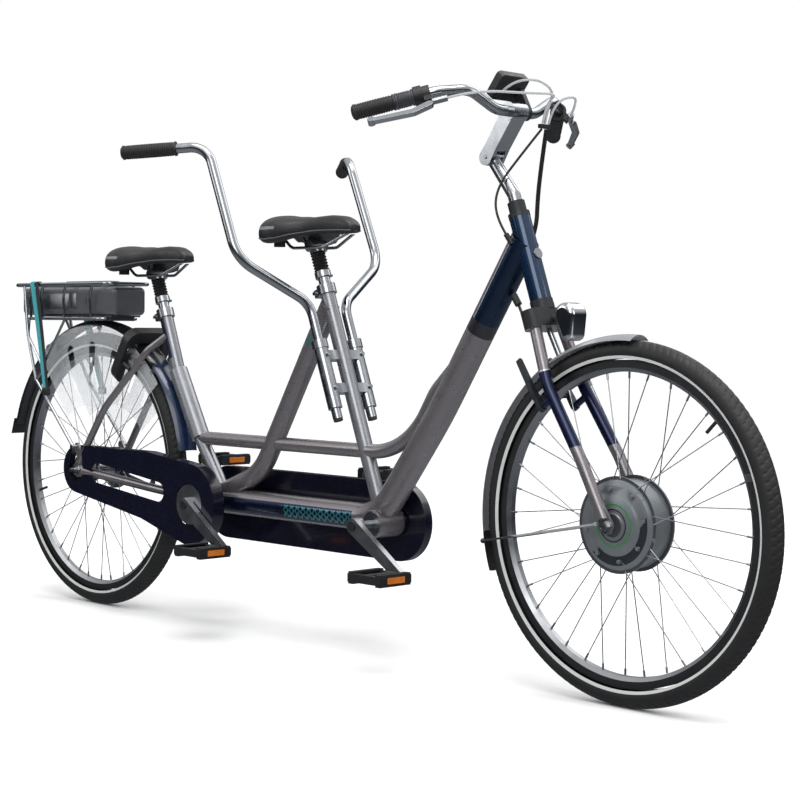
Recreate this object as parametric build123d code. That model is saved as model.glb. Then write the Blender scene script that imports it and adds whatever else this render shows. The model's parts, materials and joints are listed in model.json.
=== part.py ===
"""Two-rider electric bicycle with a low step-through frame, modelled as an assembly.

Every function below returns the solids of one named sub-part, in millimetres. The sub-parts are drawn
with X forward from the rear hub, Y to the rider's left and Z up from the floor, and are written with
the origin moved to the middle of the overall length, on the floor.
"""
from build123d import *
import os
from math import acos, asin, atan2, cos, degrees, hypot, pi, radians, sin, sqrt, tan

# ---------------------------------------------------------------- driving dimensions (mm, degrees)
WHEELBASE = 1750.0
TYRE_RADIUS = 355.0
TYRE_SECTION = 45.0
TYRE_WALL = 4.0
RIM_OUTER_RADIUS = 317.0
RIM_INNER_RADIUS = 294.0
RIM_WIDTH = 25.0
RIM_WALL = 2.0
SPOKE_DIAMETER = 2.2
SPOKE_COUNT = 36

BRACKET_HEIGHT = 300.0
REAR_BRACKET_X = 475.0
FRONT_BRACKET_X = 1071.0
CRANK_LENGTH = 170.0
CRANK_ANGLE = 33.0
PEDAL_WIDTH = 92.0
PEDAL_LENGTH = 98.0

HEAD_ANGLE = 70.4
FORK_OFFSET = 68.0
SEAT_ANGLE = 69.2
HEAD_TUBE_DIAMETER = 44.0
MAIN_TUBE_DIAMETER = 61.0
MID_TUBE_DIAMETER = 32.0
SEAT_TUBE_DIAMETER = 34.0
LOWER_SEAT_TUBE_DIAMETER = 46.0
DIAGONAL_TUBE_DIAMETER = 45.0
TUBE_WALL = 2.0
CHAINSTAY_DIAMETER = 22.0
SEATSTAY_DIAMETER = 18.0
SEATPOST_DIAMETER = 27.2
STOKER_BAR_DIAMETER = 22.2
HANDLEBAR_DIAMETER = 22.2

FRONT_DROPOUT_Y = 60.0
REAR_DROPOUT_Y = 69.0
DROPOUT_THICKNESS = 6.0
FRONT_AXLE_DIAMETER = 12.0
REAR_AXLE_DIAMETER = 10.0
AXLE_TIP = 95.0
AXLE_END_LENGTH = 12.0
AXLE_END_STEP = 0.5

DRIVE_CHAIN_Y = -52.0
TIMING_CHAIN_Y = 55.0
DRIVE_RING_RADIUS = 67.0
SPROCKET_RADIUS = 34.5
TIMING_RING_RADIUS = 65.0
CHAIN_THICKNESS = 8.0
CHAIN_WIDTH = 7.0

REAR_MUDGUARD_RADIUS = 388.0
FRONT_MUDGUARD_RADIUS = 366.0
MUDGUARD_WIDTH = 58.0
MUDGUARD_WALL = 1.6

CARRIER_HEIGHT = 835.0
BATTERY_LENGTH = 428.0
BATTERY_WIDTH = 100.0
BATTERY_HEIGHT = 73.0

# ---------------------------------------------------------------- clearances (mm)
RUNNING_FIT = 0.05
SLIDING_FIT = 0.05
CHAIN_GAP = 0.5
SOFT_GAP = 0.3

# ---------------------------------------------------------------- derived places
HUB_Z = TYRE_RADIUS
REAR_HUB = Vector(0, 0, HUB_Z)
FRONT_HUB = Vector(WHEELBASE, 0, HUB_Z)
REAR_BRACKET = Vector(REAR_BRACKET_X, 0, BRACKET_HEIGHT)
FRONT_BRACKET = Vector(FRONT_BRACKET_X, 0, BRACKET_HEIGHT)
FLAP_ANGLE = 166.0
FLAP_LEAN = 20.0
FLAP_HEIGHT = 44.0
FLAP_WALL = 3.0
FLAP_CENTRE_RADIUS = REAR_MUDGUARD_RADIUS + 4.0
REAR_REACH = (-FLAP_CENTRE_RADIUS * cos(radians(FLAP_ANGLE)) + FLAP_HEIGHT / 2 * sin(radians(FLAP_LEAN))
              + FLAP_WALL / 2 * cos(radians(FLAP_LEAN)))
ORIGIN_X = (WHEELBASE + TYRE_RADIUS - REAR_REACH) / 2

STEER_UP = Vector(-cos(radians(HEAD_ANGLE)), 0, sin(radians(HEAD_ANGLE)))
STEER_FORWARD = Vector(sin(radians(HEAD_ANGLE)), 0, cos(radians(HEAD_ANGLE)))
STEER_FOOT = FRONT_HUB - STEER_FORWARD * FORK_OFFSET
SEAT_UP = Vector(-cos(radians(SEAT_ANGLE)), 0, sin(radians(SEAT_ANGLE)))

HEAD_BOTTOM = 482.0
HEAD_TOP = 660.0
CUP_HEIGHT = 10.0
STEERER_DIAMETER = 28.6

FRONT_COLLAR = Vector(875.5, 0, 825.6)
REAR_COLLAR = Vector(273.4, 0, 771.2)
REAR_KINK = REAR_COLLAR - SEAT_UP * 167
STEM_HINGE = Vector(1386, 0, 1080)
BAR_CENTRE = Vector(1448, 0, 1169)


def steer(up, forward=0.0, side=0.0):
    """Point at a height along the steering axis, set off forward and to the left of it."""
    return STEER_FOOT + STEER_UP * up + STEER_FORWARD * forward + Vector(0, side, 0)


# ---------------------------------------------------------------- shape helpers
def rod(start, end, diameter):
    """Straight round bar between two points."""
    start, end = Vector(*start), Vector(*end)
    return extrude(Plane(origin=start, z_dir=end - start) * Circle(diameter / 2), amount=(end - start).length)


def ring(start, end, outer, inner):
    """Straight round tube between two points."""
    start, end = Vector(*start), Vector(*end)
    section = Circle(outer / 2) - Circle(inner / 2)
    return extrude(Plane(origin=start, z_dir=end - start) * section, amount=(end - start).length)


def pipe(points, diameter, radii, wall=0.0):
    """Round bar or tube along straight runs joined by tangent arcs."""
    if len(points) == 2:
        return ring(*points, diameter, diameter - 2 * wall) if wall else rod(*points, diameter)
    path = FilletPolyline(*[Vector(*p) for p in points], radius=radii)
    section = Circle(diameter / 2) - Circle(diameter / 2 - wall) if wall else Circle(diameter / 2)
    return sweep((path ^ 0) * section, path=path)


def slab(sketch, y_low, y_high):
    """Plate drawn in side view (X, Z), between two sideways places."""
    side = Plane(origin=(0, y_low, 0), x_dir=(1, 0, 0), z_dir=(0, -1, 0))
    return extrude(side * sketch, amount=y_low - y_high)


def disc(x, z, radius):
    """Round outline in side view."""
    return Pos(x, z) * Circle(radius)


def tapered_bar(start, start_radius, end, end_radius):
    """Outline of two discs joined by their outer tangents."""
    run_x, run_z = end[0] - start[0], end[1] - start[1]
    heading = atan2(run_z, run_x)
    spread = acos((start_radius - end_radius) / hypot(run_x, run_z))
    corners = []
    for angle in (heading + spread, heading - spread):
        corners.append((start[0] + start_radius * cos(angle), start[1] + start_radius * sin(angle)))
        corners.append((end[0] + end_radius * cos(angle), end[1] + end_radius * sin(angle)))
    flank = make_face(Polyline(corners[0], corners[1], corners[3], corners[2], close=True))
    return disc(*start, start_radius) + disc(*end, end_radius) + flank


def turned(profile, centre):
    """Body of revolution about the sideways line through a centre; the profile is (radius, Y)."""
    body = revolve(make_face(Polyline(*profile, close=True)), axis=Axis.Y)
    return Pos(centre.X, 0, centre.Z) * body


def both_sides(shape):
    """A shape and its mirror image on the other side of the bicycle."""
    return [shape, mirror(shape, about=Plane.XZ)]


def polar(centre, radius, angle, side=0.0):
    """Point at a radius and an angle about a wheel centre, set off sideways."""
    turn = radians(angle)
    return Vector(centre.X + radius * cos(turn), side, centre.Z + radius * sin(turn))


def radial_plane(centre, radius, angle):
    """Plane across the wheel rim: its x is sideways and its y points away from the hub."""
    turn = radians(angle)
    return Plane(origin=polar(centre, radius, angle), x_dir=(0, 1, 0), z_dir=(sin(turn), 0, -cos(turn)))


def crank_end(bracket, side):
    """Pedal axle's place on the right (-1) or left (+1) crank arm."""
    turn = radians(CRANK_ANGLE)
    reach = Vector(cos(turn), 0, -sin(turn)) * (CRANK_LENGTH * -side)
    return bracket + reach


# ---------------------------------------------------------------- frame tubes
def head_tube_outer():
    return rod(steer(HEAD_BOTTOM), steer(HEAD_TOP), HEAD_TUBE_DIAMETER)


MAIN_ROUTE = [steer(613.0), Vector(1243, 0, 545), Vector(1062, 0, 309), Vector(REAR_BRACKET_X, 0, 309)]
MAIN_RADII = [1400.0, 130.0]
MID_HEIGHT = 456.0
MID_ROUTE = [Vector(423, 0, MID_HEIGHT), Vector(1145, 0, MID_HEIGHT), Vector(1232, 0, 594), Vector(1304, 0, 661)]
MID_RADII = [200.0, 120.0]
FRONT_SEAT_FOOT = FRONT_COLLAR - SEAT_UP * 550
REAR_SEAT_KNEE = Vector(423, 0, MID_HEIGHT)
REAR_SEAT_FOOT = Vector(527, 0, 312)
DIAGONAL_ROUTE = [Vector(893, 0, 780), Vector(655, 0, 384), Vector(478, 0, 316)]
DIAGONAL_RADIUS = 150.0


def main_tube_outer():
    return pipe(MAIN_ROUTE, MAIN_TUBE_DIAMETER, MAIN_RADII)


def front_seat_outer():
    return rod(FRONT_SEAT_FOOT, FRONT_COLLAR, SEAT_TUBE_DIAMETER)


def lower_seat_outer():
    return rod(REAR_KINK - SEAT_UP * -4, REAR_SEAT_KNEE, LOWER_SEAT_TUBE_DIAMETER)


LEG_END_WALL = 16.0


def rear_seat_outer():
    upper = rod(REAR_KINK, REAR_COLLAR, SEAT_TUBE_DIAMETER)
    strut = rod(REAR_SEAT_KNEE, REAR_SEAT_FOOT, SEAT_TUBE_DIAMETER)
    return upper + lower_seat_outer() + strut


def diagonal_outer():
    return pipe(DIAGONAL_ROUTE, DIAGONAL_TUBE_DIAMETER, DIAGONAL_RADIUS)


SHELL_HALF_WIDTH = 36.5
REAR_SHELL_DIAMETER = 50.0
FRONT_SHELL_DIAMETER = 62.0
SPINDLE_DIAMETER = 17.0
SHELL_WALL = 3.5


def shell_outers():
    sizes = ((REAR_BRACKET, REAR_SHELL_DIAMETER), (FRONT_BRACKET, FRONT_SHELL_DIAMETER))
    return [slab(disc(c.X, c.Z, d / 2), -SHELL_HALF_WIDTH, SHELL_HALF_WIDTH) for c, d in sizes]


PORT_LENGTH = 24.0
GEAR_PORT = (Vector(1458, -34, 920), Vector(26, 10, -43))
CONDUIT_PORT = (Vector(1447, 38, 880), Vector(-14, -15, -45))
LEAD_PORT = (Vector(1464, 0, 778), Vector(-24, 0, 34))


def port(mouth_and_way, diameter):
    """Round cable port that runs inward from its mouth."""
    mouth, way = mouth_and_way
    return rod(mouth, mouth + way.normalized() * PORT_LENGTH, diameter)


def head_tube():
    """Head tube with its two pressed headset cups, bored for the fork steerer."""
    bore = STEERER_DIAMETER + 2 * RUNNING_FIT
    tube = ring(steer(HEAD_BOTTOM), steer(HEAD_TOP), HEAD_TUBE_DIAMETER, HEAD_TUBE_DIAMETER - 7)
    low_cup = ring(steer(HEAD_BOTTOM - CUP_HEIGHT), steer(HEAD_BOTTOM), HEAD_TUBE_DIAMETER + 3, bore)
    top_cup = ring(steer(HEAD_TOP), steer(HEAD_TOP + CUP_HEIGHT), HEAD_TUBE_DIAMETER + 1, bore)
    badge = rod(steer(575, HEAD_TUBE_DIAMETER / 2), steer(575, HEAD_TUBE_DIAMETER / 2 + 3), 22)
    solid_tube = head_tube_outer()
    return [tube, low_cup, top_cup, badge - solid_tube, port(GEAR_PORT, 11) - solid_tube - main_tube_outer()]


def main_tube():
    """Down tube and lower boom in one bent tube, with the cable ports under and beside its top."""
    cutters = [head_tube_outer(), *shell_outers()]
    tube = pipe(MAIN_ROUTE, MAIN_TUBE_DIAMETER, MAIN_RADII, TUBE_WALL)
    for cutter in cutters:
        tube = tube - cutter
    outer = main_tube_outer()
    ports = [port(LEAD_PORT, 15) - outer - cutters[0], port(CONDUIT_PORT, 14) - outer - cutters[0]]
    return [tube, *ports]


def mid_tube():
    """Slim horizontal tube, cut where it meets the seat tubes and the diagonal."""
    tube = pipe(MID_ROUTE, MID_TUBE_DIAMETER, MID_RADII, TUBE_WALL)
    for cutter in (rear_seat_outer(), diagonal_outer(), front_seat_outer(), main_tube_outer()):
        tube = tube - cutter
    return tube.solids()


def seat_collar(top, diameter):
    """Clamp ring with its bolt, around the top of a seat tube."""
    band = ring(top - SEAT_UP * 24, top - SEAT_UP * 2, diameter + 9, diameter)
    middle = top - SEAT_UP * 13
    rear = Vector(-sin(radians(SEAT_ANGLE)), 0, -cos(radians(SEAT_ANGLE)))
    lug_centre = middle + rear * (diameter / 2 + 9)
    lug_plane = Plane(origin=lug_centre, x_dir=rear, z_dir=SEAT_UP)
    lug = extrude(lug_plane * Rectangle(14, 20), amount=9, both=True)
    lug = lug - rod(top - SEAT_UP * 30, top + SEAT_UP * 4, diameter)
    bolt = rod(lug_centre + Vector(0, -18, 0), lug_centre + Vector(0, 18, 0), 8)
    return [band + lug + bolt]


def front_seat_tube():
    """Captain's seat tube with its bored top and its clamp."""
    tube = ring(FRONT_SEAT_FOOT, FRONT_COLLAR, SEAT_TUBE_DIAMETER, SEATPOST_DIAMETER + 2 * SLIDING_FIT)
    for cutter in (main_tube_outer(), *shell_outers()):
        tube = tube - cutter
    tube = max(tube.solids(), key=lambda s: s.volume)
    return [tube, *seat_collar(FRONT_COLLAR, SEAT_TUBE_DIAMETER)]


def rear_seat_tube():
    """Stoker's seat tube: a bored upper tube, a thicker leg and a strut down to the boom."""
    bore = SEATPOST_DIAMETER + 2 * SLIDING_FIT
    upper = ring(REAR_KINK, REAR_COLLAR, SEAT_TUBE_DIAMETER, bore)
    down = (REAR_SEAT_KNEE - REAR_KINK).normalized()
    hollow = rod(REAR_KINK + down * LEG_END_WALL, REAR_SEAT_KNEE - down * LEG_END_WALL,
                 LOWER_SEAT_TUBE_DIAMETER - 2 * TUBE_WALL)
    leg = lower_seat_outer() - hollow
    strut = ring(REAR_SEAT_KNEE, REAR_SEAT_FOOT, SEAT_TUBE_DIAMETER, SEAT_TUBE_DIAMETER - 2 * TUBE_WALL)
    upper_solid = rod(REAR_KINK, REAR_COLLAR, SEAT_TUBE_DIAMETER)
    body = upper + (leg - upper_solid) + (strut - lower_seat_outer())
    for cutter in (main_tube_outer(), shell_outers()[0]):
        body = body - cutter
    tube = max(body.solids(), key=lambda s: s.volume)
    return [tube, *seat_collar(REAR_COLLAR, SEAT_TUBE_DIAMETER)]


def diagonal_tube():
    """Tube from high on the front seat tube down to the boom near the rear bracket."""
    tube = pipe(DIAGONAL_ROUTE, DIAGONAL_TUBE_DIAMETER, DIAGONAL_RADIUS, TUBE_WALL)
    for cutter in (front_seat_outer(), main_tube_outer(), rear_seat_outer(), shell_outers()[0]):
        tube = tube - cutter
    return [max(tube.solids(), key=lambda s: s.volume)]


CHAINSTAY_ROUTE = [(24, REAR_DROPOUT_Y, 353), (300, 48, 325), (372, 33, 316), (REAR_BRACKET_X - 8, 22, 303)]
SEATSTAY_ROUTE = [(4, REAR_DROPOUT_Y, 374), (110, 66, 518), (262, 43, 667), (297, 12, 703)]


def chainstay_outer():
    return pipe(CHAINSTAY_ROUTE, CHAINSTAY_DIAMETER, [260.0, 200.0])


def seatstay_outer():
    return pipe(SEATSTAY_ROUTE, SEATSTAY_DIAMETER, [300.0, 40.0])


def rear_dropout():
    """Plate that joins the two stays and carries the axle."""
    low, high = REAR_DROPOUT_Y - DROPOUT_THICKNESS / 2, REAR_DROPOUT_Y + DROPOUT_THICKNESS / 2
    outline = tapered_bar((0, HUB_Z), 20, (30, 352), 13) + tapered_bar((0, HUB_Z), 20, (10, 384), 12)
    outline = outline + tapered_bar((10, 384), 12, (-6, 414), 10)
    return slab(outline - disc(0, HUB_Z, REAR_AXLE_DIAMETER / 2), low, high)


def rear_stays():
    """Chainstays, seatstays and dropouts, welded into one piece on each side, with a bridge."""
    dropout = rear_dropout()
    axle_room = slab(disc(0, HUB_Z, 15), REAR_DROPOUT_Y - 30, REAR_DROPOUT_Y + 30)
    side = dropout + (chainstay_outer() - axle_room) + (seatstay_outer() - axle_room)
    for cutter in (rear_seat_outer(), main_tube_outer(), shell_outers()[0], mid_tube_cutter()):
        side = side - cutter
    side = max(side.solids(), key=lambda s: s.volume)
    right = mirror(side, about=Plane.XZ)
    bridge = rod((412, -28, 311), (412, 28, 311), 16)
    return [(side + right + bridge)]


def mid_tube_cutter():
    return rod(MID_ROUTE[0], MID_ROUTE[1], MID_TUBE_DIAMETER)


def bottom_brackets():
    """Two bracket shells with the bearing units that the crank spindles turn in."""
    solids = []
    for centre, diameter in ((REAR_BRACKET, REAR_SHELL_DIAMETER), (FRONT_BRACKET, FRONT_SHELL_DIAMETER)):
        shell = disc(centre.X, centre.Z, diameter / 2) - disc(centre.X, centre.Z, diameter / 2 - SHELL_WALL)
        solids.append(slab(shell, -SHELL_HALF_WIDTH, SHELL_HALF_WIDTH))
        bore = SPINDLE_DIAMETER / 2 + RUNNING_FIT
        unit = disc(centre.X, centre.Z, diameter / 2 - SHELL_WALL) - disc(centre.X, centre.Z, bore)
        solids.append(slab(unit, -SHELL_HALF_WIDTH + 1, SHELL_HALF_WIDTH - 1))
    return solids


# ---------------------------------------------------------------- stoker handlebars
SLEEVE_FOOT = Vector(970, 0, 549)
SLEEVE_LENGTH = 160.0
SLEEVE_DIAMETER = 32.0
SLEEVE_Y = 52.0
SLEEVE_STUB = 24.0


def sleeve_point(along, side=0.0):
    """Point along the axis of a stoker bar sleeve, above its foot."""
    return SLEEVE_FOOT + SEAT_UP * along + Vector(0, side, 0)


def stoker_bar_sleeves():
    """Two sleeves beside the front seat tube, each on two bridge blocks, with pinch bolts."""
    seat_solid = front_seat_outer()
    bore = STOKER_BAR_DIAMETER + 2 * SLIDING_FIT
    forward = Vector(sin(radians(SEAT_ANGLE)), 0, cos(radians(SEAT_ANGLE)))
    solids = []
    for side in (-SLEEVE_Y, SLEEVE_Y):
        sleeve = rod(sleeve_point(0, side), sleeve_point(SLEEVE_LENGTH, side), SLEEVE_DIAMETER)
        sleeve = sleeve + rod(sleeve_point(SLEEVE_LENGTH - 20, side), sleeve_point(SLEEVE_LENGTH, side), 37)
        for along in (44.0, 122.0):
            lug = sleeve_point(along) + forward * 5
            block = Plane(origin=lug, x_dir=(0, 1, 0), z_dir=SEAT_UP) * Rectangle(abs(side) * 2, 20)
            sleeve = sleeve + (extrude(block, amount=11, both=True) & side_half(side))
            screw = sleeve_point(along, side)
            sleeve = sleeve + rod(screw, screw + forward * 22, 9)
        sleeve = sleeve - seat_solid
        sleeve = sleeve - rod(sleeve_point(-10, side), sleeve_point(SLEEVE_LENGTH + 10, side), bore)
        solids.append(max(sleeve.solids(), key=lambda s: s.volume))
    return solids


def side_half(side):
    """Large block that keeps only what lies on one side of the bicycle."""
    return Pos(WHEELBASE / 2, (1 if side > 0 else -1) * 500.2, 500) * Box(4000, 1000, 4000)


GRIP_LENGTH = 125.0
GRIP_DIAMETER = 33.0


def stoker_bar(side):
    """One stoker bar: bent tube, end plug and rubber grip."""
    foot = sleeve_point(-SLEEVE_STUB, SLEEVE_Y)
    bend = sleeve_point(249, SLEEVE_Y)
    route = [foot, bend, Vector(823, 215, 878), Vector(716, 214, 1131), Vector(562, 334, 1117)]
    bar = pipe(route, STOKER_BAR_DIAMETER, [58.0, 80.0, 52.0], 1.8)
    plug = rod(foot - SEAT_UP * 5, foot, STOKER_BAR_DIAMETER - 1)
    end, heading = route[-1], (route[-2] - route[-1]).normalized()
    grip = ring(end, end + heading * GRIP_LENGTH, GRIP_DIAMETER, STOKER_BAR_DIAMETER)
    cap = rod(end - heading * 4, end, GRIP_DIAMETER - 3)
    collar = ring(end + heading * GRIP_LENGTH, end + heading * (GRIP_LENGTH + 8), 29, STOKER_BAR_DIAMETER)
    solids = [bar, plug, grip, cap, collar]
    return solids if side > 0 else [mirror(s, about=Plane.XZ) for s in solids]


# ---------------------------------------------------------------- fork and front carrying parts
BLADE_ROUTE = [steer(436, 2, 40), steer(300, 7, 54), steer(140, 46, 59), steer(10, 66, FRONT_DROPOUT_Y)]
BLADE_DIAMETER = 24.0
CROWN_SEAT = HEAD_BOTTOM - CUP_HEIGHT
CROWN_HEIGHT = 38.0
STEERER_TOP = 700.0
BRAKE_Y = 50.0
BRAKE_PIN_DIAMETER = 8.0
BRAKE_BOSS = steer(266.0, -24.0, BRAKE_Y)
BRAKE_ARM_TOP = steer(372.0, -55.0, BRAKE_Y - 2)
BRAKE_ARM_UP = (Vector(BRAKE_ARM_TOP.X, BRAKE_Y, BRAKE_ARM_TOP.Z) - BRAKE_BOSS).normalized()
BRAKE_AXIS = BRAKE_ARM_UP.cross(Vector(0, 1, 0)).normalized()


def fork_crown():
    """Rounded block under the lower headset cup that the two blades enter."""
    plane = Plane(origin=steer(CROWN_SEAT - 12), x_dir=(0, 1, 0), z_dir=STEER_UP * -1)
    return extrude(plane * SlotOverall(120, 44), amount=CROWN_HEIGHT)


def fork():
    """Steerer, crown, two raked blades, dropouts and the rear brake bosses, as one weldment."""
    steerer = rod(steer(CROWN_SEAT - 40), steer(STEERER_TOP - 14), STEERER_DIAMETER)
    race = rod(steer(CROWN_SEAT - 12), steer(CROWN_SEAT), HEAD_TUBE_DIAMETER + 4)
    bore = rod(steer(CROWN_SEAT + 2), steer(STEERER_TOP + 2), 22.2)
    body = steerer + race + fork_crown() - bore
    for solid in both_sides(pipe(BLADE_ROUTE, BLADE_DIAMETER, [200.0, 160.0])):
        body = body + solid
    low, high = FRONT_DROPOUT_Y - DROPOUT_THICKNESS / 2, FRONT_DROPOUT_Y + DROPOUT_THICKNESS / 2
    foot = steer(28, 64)
    plate = tapered_bar((FRONT_HUB.X, FRONT_HUB.Z), 16, (foot.X, foot.Z), 12)
    axle_room = slab(disc(FRONT_HUB.X, FRONT_HUB.Z, 16), -90, 90)
    body = body - axle_room
    for solid in both_sides(slab(plate, low, high)):
        body = body + solid
    body = body - slab(disc(FRONT_HUB.X, FRONT_HUB.Z, FRONT_AXLE_DIAMETER / 2), -90, 90)
    boss = rod(BRAKE_BOSS - BRAKE_AXIS * 6, BRAKE_BOSS - BRAKE_AXIS * 42, 14)
    pin = rod(BRAKE_BOSS - BRAKE_AXIS * 6, BRAKE_BOSS + BRAKE_AXIS * 7, BRAKE_PIN_DIAMETER)
    for solid in both_sides(boss) + both_sides(pin):
        body = body + solid
    return [body]


def axle(centre, diameter, dropout, washer, tip, end_length):
    """Fixed axle with slimmer ends, and a nut and a washer outside each dropout."""
    core = slab(disc(centre.X, centre.Z, diameter / 2), -tip + end_length, tip - end_length)
    solids = [core + slab(disc(centre.X, centre.Z, (diameter - AXLE_END_STEP) / 2), -tip, tip)]
    face = dropout + DROPOUT_THICKNESS / 2
    hexagon = Pos(centre.X, centre.Z) * RegularPolygon(10.5, 6)
    nut = slab(hexagon - disc(centre.X, centre.Z, diameter / 2), face + 2, face + 11)
    plate = slab(disc(centre.X, centre.Z, washer) - disc(centre.X, centre.Z, diameter / 2), face, face + 2)
    return solids + both_sides(nut) + both_sides(plate)


def front_axle():
    return axle(FRONT_HUB, FRONT_AXLE_DIAMETER, FRONT_DROPOUT_Y, 13, 73, 2)


def rear_axle():
    return axle(REAR_HUB, REAR_AXLE_DIAMETER, REAR_DROPOUT_Y, 12, AXLE_TIP, AXLE_END_LENGTH)


def mudguard_band(centre, radius, first, last):
    """Curved band with a crowned section, from one angle about the wheel centre to another."""
    half = MUDGUARD_WIDTH / 2
    drop = 12.0
    outer = ThreePointArc((radius - drop, -half), (radius, 0), (radius - drop, half))
    inner = ThreePointArc((radius - drop - 0.3, half - MUDGUARD_WALL), (radius - MUDGUARD_WALL, 0),
                          (radius - drop - 0.3, -half + MUDGUARD_WALL))
    closing = [Line(outer @ 1, inner @ 0), Line(inner @ 1, outer @ 0)]
    band = revolve(make_face([outer, closing[0], inner, closing[1]]), axis=Axis.Y,
                   revolution_arc=last - first)
    return Pos(centre.X, 0, centre.Z) * Rot(0, -last, 0) * band


def front_mudguard():
    """Front guard, its two wire stays and the bracket up to the fork crown."""
    band = mudguard_band(FRONT_HUB, FRONT_MUDGUARD_RADIUS, 86, 200)
    foot = polar(FRONT_HUB, 353, 190, 33)
    dropout_face = FRONT_DROPOUT_Y + DROPOUT_THICKNESS / 2
    eye = Vector(FRONT_HUB.X - 20, dropout_face + 2.3, HUB_Z + 3)
    solids = [band]
    wire = rod(eye, foot, 4.5) + Pos(*foot) * Sphere(5.5)
    solids += both_sides(wire)
    bolt = rod(eye - Vector(0, 2.3, 0), eye + Vector(0, 6, 0), 8)
    solids[1:] = [s + b for s, b in zip(solids[1:], both_sides(bolt))]
    tab_angle = 90 + degrees(atan2(-(steer(430).X - FRONT_HUB.X), steer(430).Z - HUB_Z))
    tab_low = polar(FRONT_HUB, FRONT_MUDGUARD_RADIUS - 0.4, tab_angle)
    tab_high = steer(CROWN_SEAT - 12 - CROWN_HEIGHT + 8)
    solids.append(rod(tab_low, tab_high, 12) - band - fork_crown())
    return solids


def headlamp():
    """Tall teardrop lamp: housing, clear front and the bracket to the fork crown."""
    profile = tapered_bar((1602, 757), 25, (1608, 721), 15)
    body = slab(profile, -26, 26)
    body = fillet(body.edges().group_by(Axis.Y)[0] + body.edges().group_by(Axis.Y)[-1], 11)
    split = Plane(origin=(1610, 0, 738), x_dir=(0, 1, 0), z_dir=(cos(radians(24)), 0, sin(radians(24))))
    front_block = extrude(split * Rectangle(200, 200), amount=100)
    lens = body & front_block
    housing = body - front_block
    arm = rod((1583, 0, 750), steer(CROWN_SEAT - 30, 14), 12) - body - fork_crown()
    return [housing, lens, arm]


STEM_KNUCKLE_RADIUS = 17.0
STEM_KNUCKLE_HALF = 12.0


def stem_post():
    """Quill and post that rise from the steerer to the stem's tilting joint."""
    quill = rod(steer(STEERER_TOP - 160), steer(STEERER_TOP - 14), 22.2 - 2 * SLIDING_FIT)
    cap = rod(steer(HEAD_TOP + CUP_HEIGHT + 0.3), steer(STEERER_TOP - 6), 36)
    cap = cap - rod(steer(HEAD_TOP), steer(STEERER_TOP - 14), STEERER_DIAMETER)
    base = steer(STEERER_TOP - 6)
    post = pipe([steer(STEERER_TOP - 14), base + STEER_UP * 16, STEM_HINGE], 27.0, 18.0)
    knuckle = slab(disc(STEM_HINGE.X, STEM_HINGE.Z, STEM_KNUCKLE_RADIUS), -STEM_KNUCKLE_HALF, STEM_KNUCKLE_HALF)
    ear_room = slab(disc(STEM_HINGE.X, STEM_HINGE.Z, STEM_KNUCKLE_RADIUS + 4), STEM_KNUCKLE_HALF, 40)
    body = quill + cap + post
    for room in both_sides(ear_room):
        body = body - room
    body = body + knuckle
    return [body - slab(disc(STEM_HINGE.X, STEM_HINGE.Z, 4 + RUNNING_FIT), -30, 30)]


# ---------------------------------------------------------------- tilting handlebar group
BAR_HALF_ROUTE = [BAR_CENTRE, Vector(1448, 58, 1169), Vector(1440, 125, 1203), Vector(1405, 185, 1196),
                  Vector(1290, 300, 1153)]
BAR_RADII = [62.0, 52.0, 60.0]
BAR_CLAMP_HALF = 22.0


def bar_point(along, side):
    """Point on the straight end run of the handlebar, and the run's direction, on one side."""
    start, end = BAR_HALF_ROUTE[-2], BAR_HALF_ROUTE[-1]
    heading = (end - start).normalized()
    point = start + heading * along
    flip = 1 if side > 0 else -1
    return Vector(point.X, point.Y * flip, point.Z), Vector(heading.X, heading.Y * flip, heading.Z)


BAR_RUN = (BAR_HALF_ROUTE[-1] - BAR_HALF_ROUTE[-2]).length


def stem_arm():
    """Forked arm from the tilting joint up to the bar clamp, with the joint's pin."""
    hinge = (STEM_HINGE.X, STEM_HINGE.Z)
    bar = (BAR_CENTRE.X, BAR_CENTRE.Z)
    heading = atan2(bar[1] - hinge[1], bar[0] - hinge[0])
    near = (hinge[0] + 30 * cos(heading), hinge[1] + 30 * sin(heading))
    outline = tapered_bar(hinge, STEM_KNUCKLE_RADIUS, near, 15)
    gap = SOFT_GAP
    ears = both_sides(slab(outline, STEM_KNUCKLE_HALF + gap, STEM_KNUCKLE_HALF + 9))
    neck = slab(tapered_bar(near, 15, bar, 17), -STEM_KNUCKLE_HALF - 9, STEM_KNUCKLE_HALF + 9)
    knuckle_room = slab(disc(*hinge, STEM_KNUCKLE_RADIUS + 1.0), -STEM_KNUCKLE_HALF - gap,
                        STEM_KNUCKLE_HALF + gap)
    clamp = slab(disc(*bar, 19), -BAR_CLAMP_HALF, BAR_CLAMP_HALF)
    body = neck + clamp - knuckle_room
    for ear in ears:
        body = body + ear
    body = body - slab(disc(*bar, HANDLEBAR_DIAMETER / 2), -40, 40)
    pin = slab(disc(*hinge, 4), -STEM_KNUCKLE_HALF - 11, STEM_KNUCKLE_HALF + 11)
    return [body + pin]


def handlebar():
    """Swept-back bar, symmetric about the stem."""
    half = BAR_HALF_ROUTE
    route = [Vector(p.X, -p.Y, p.Z) for p in reversed(half[1:])] + list(half[1:])
    return [pipe(route, HANDLEBAR_DIAMETER, BAR_RADII[::-1] + BAR_RADII, 2.0)]


CLAMP_ALONG = 20.0
CLAMP_HALF = 8.0
TWIST_START = 45.0
TWIST_LENGTH = 38.0
LEFT_GRIP_START = 36.0
GRIP_GAP = 0.4


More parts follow.
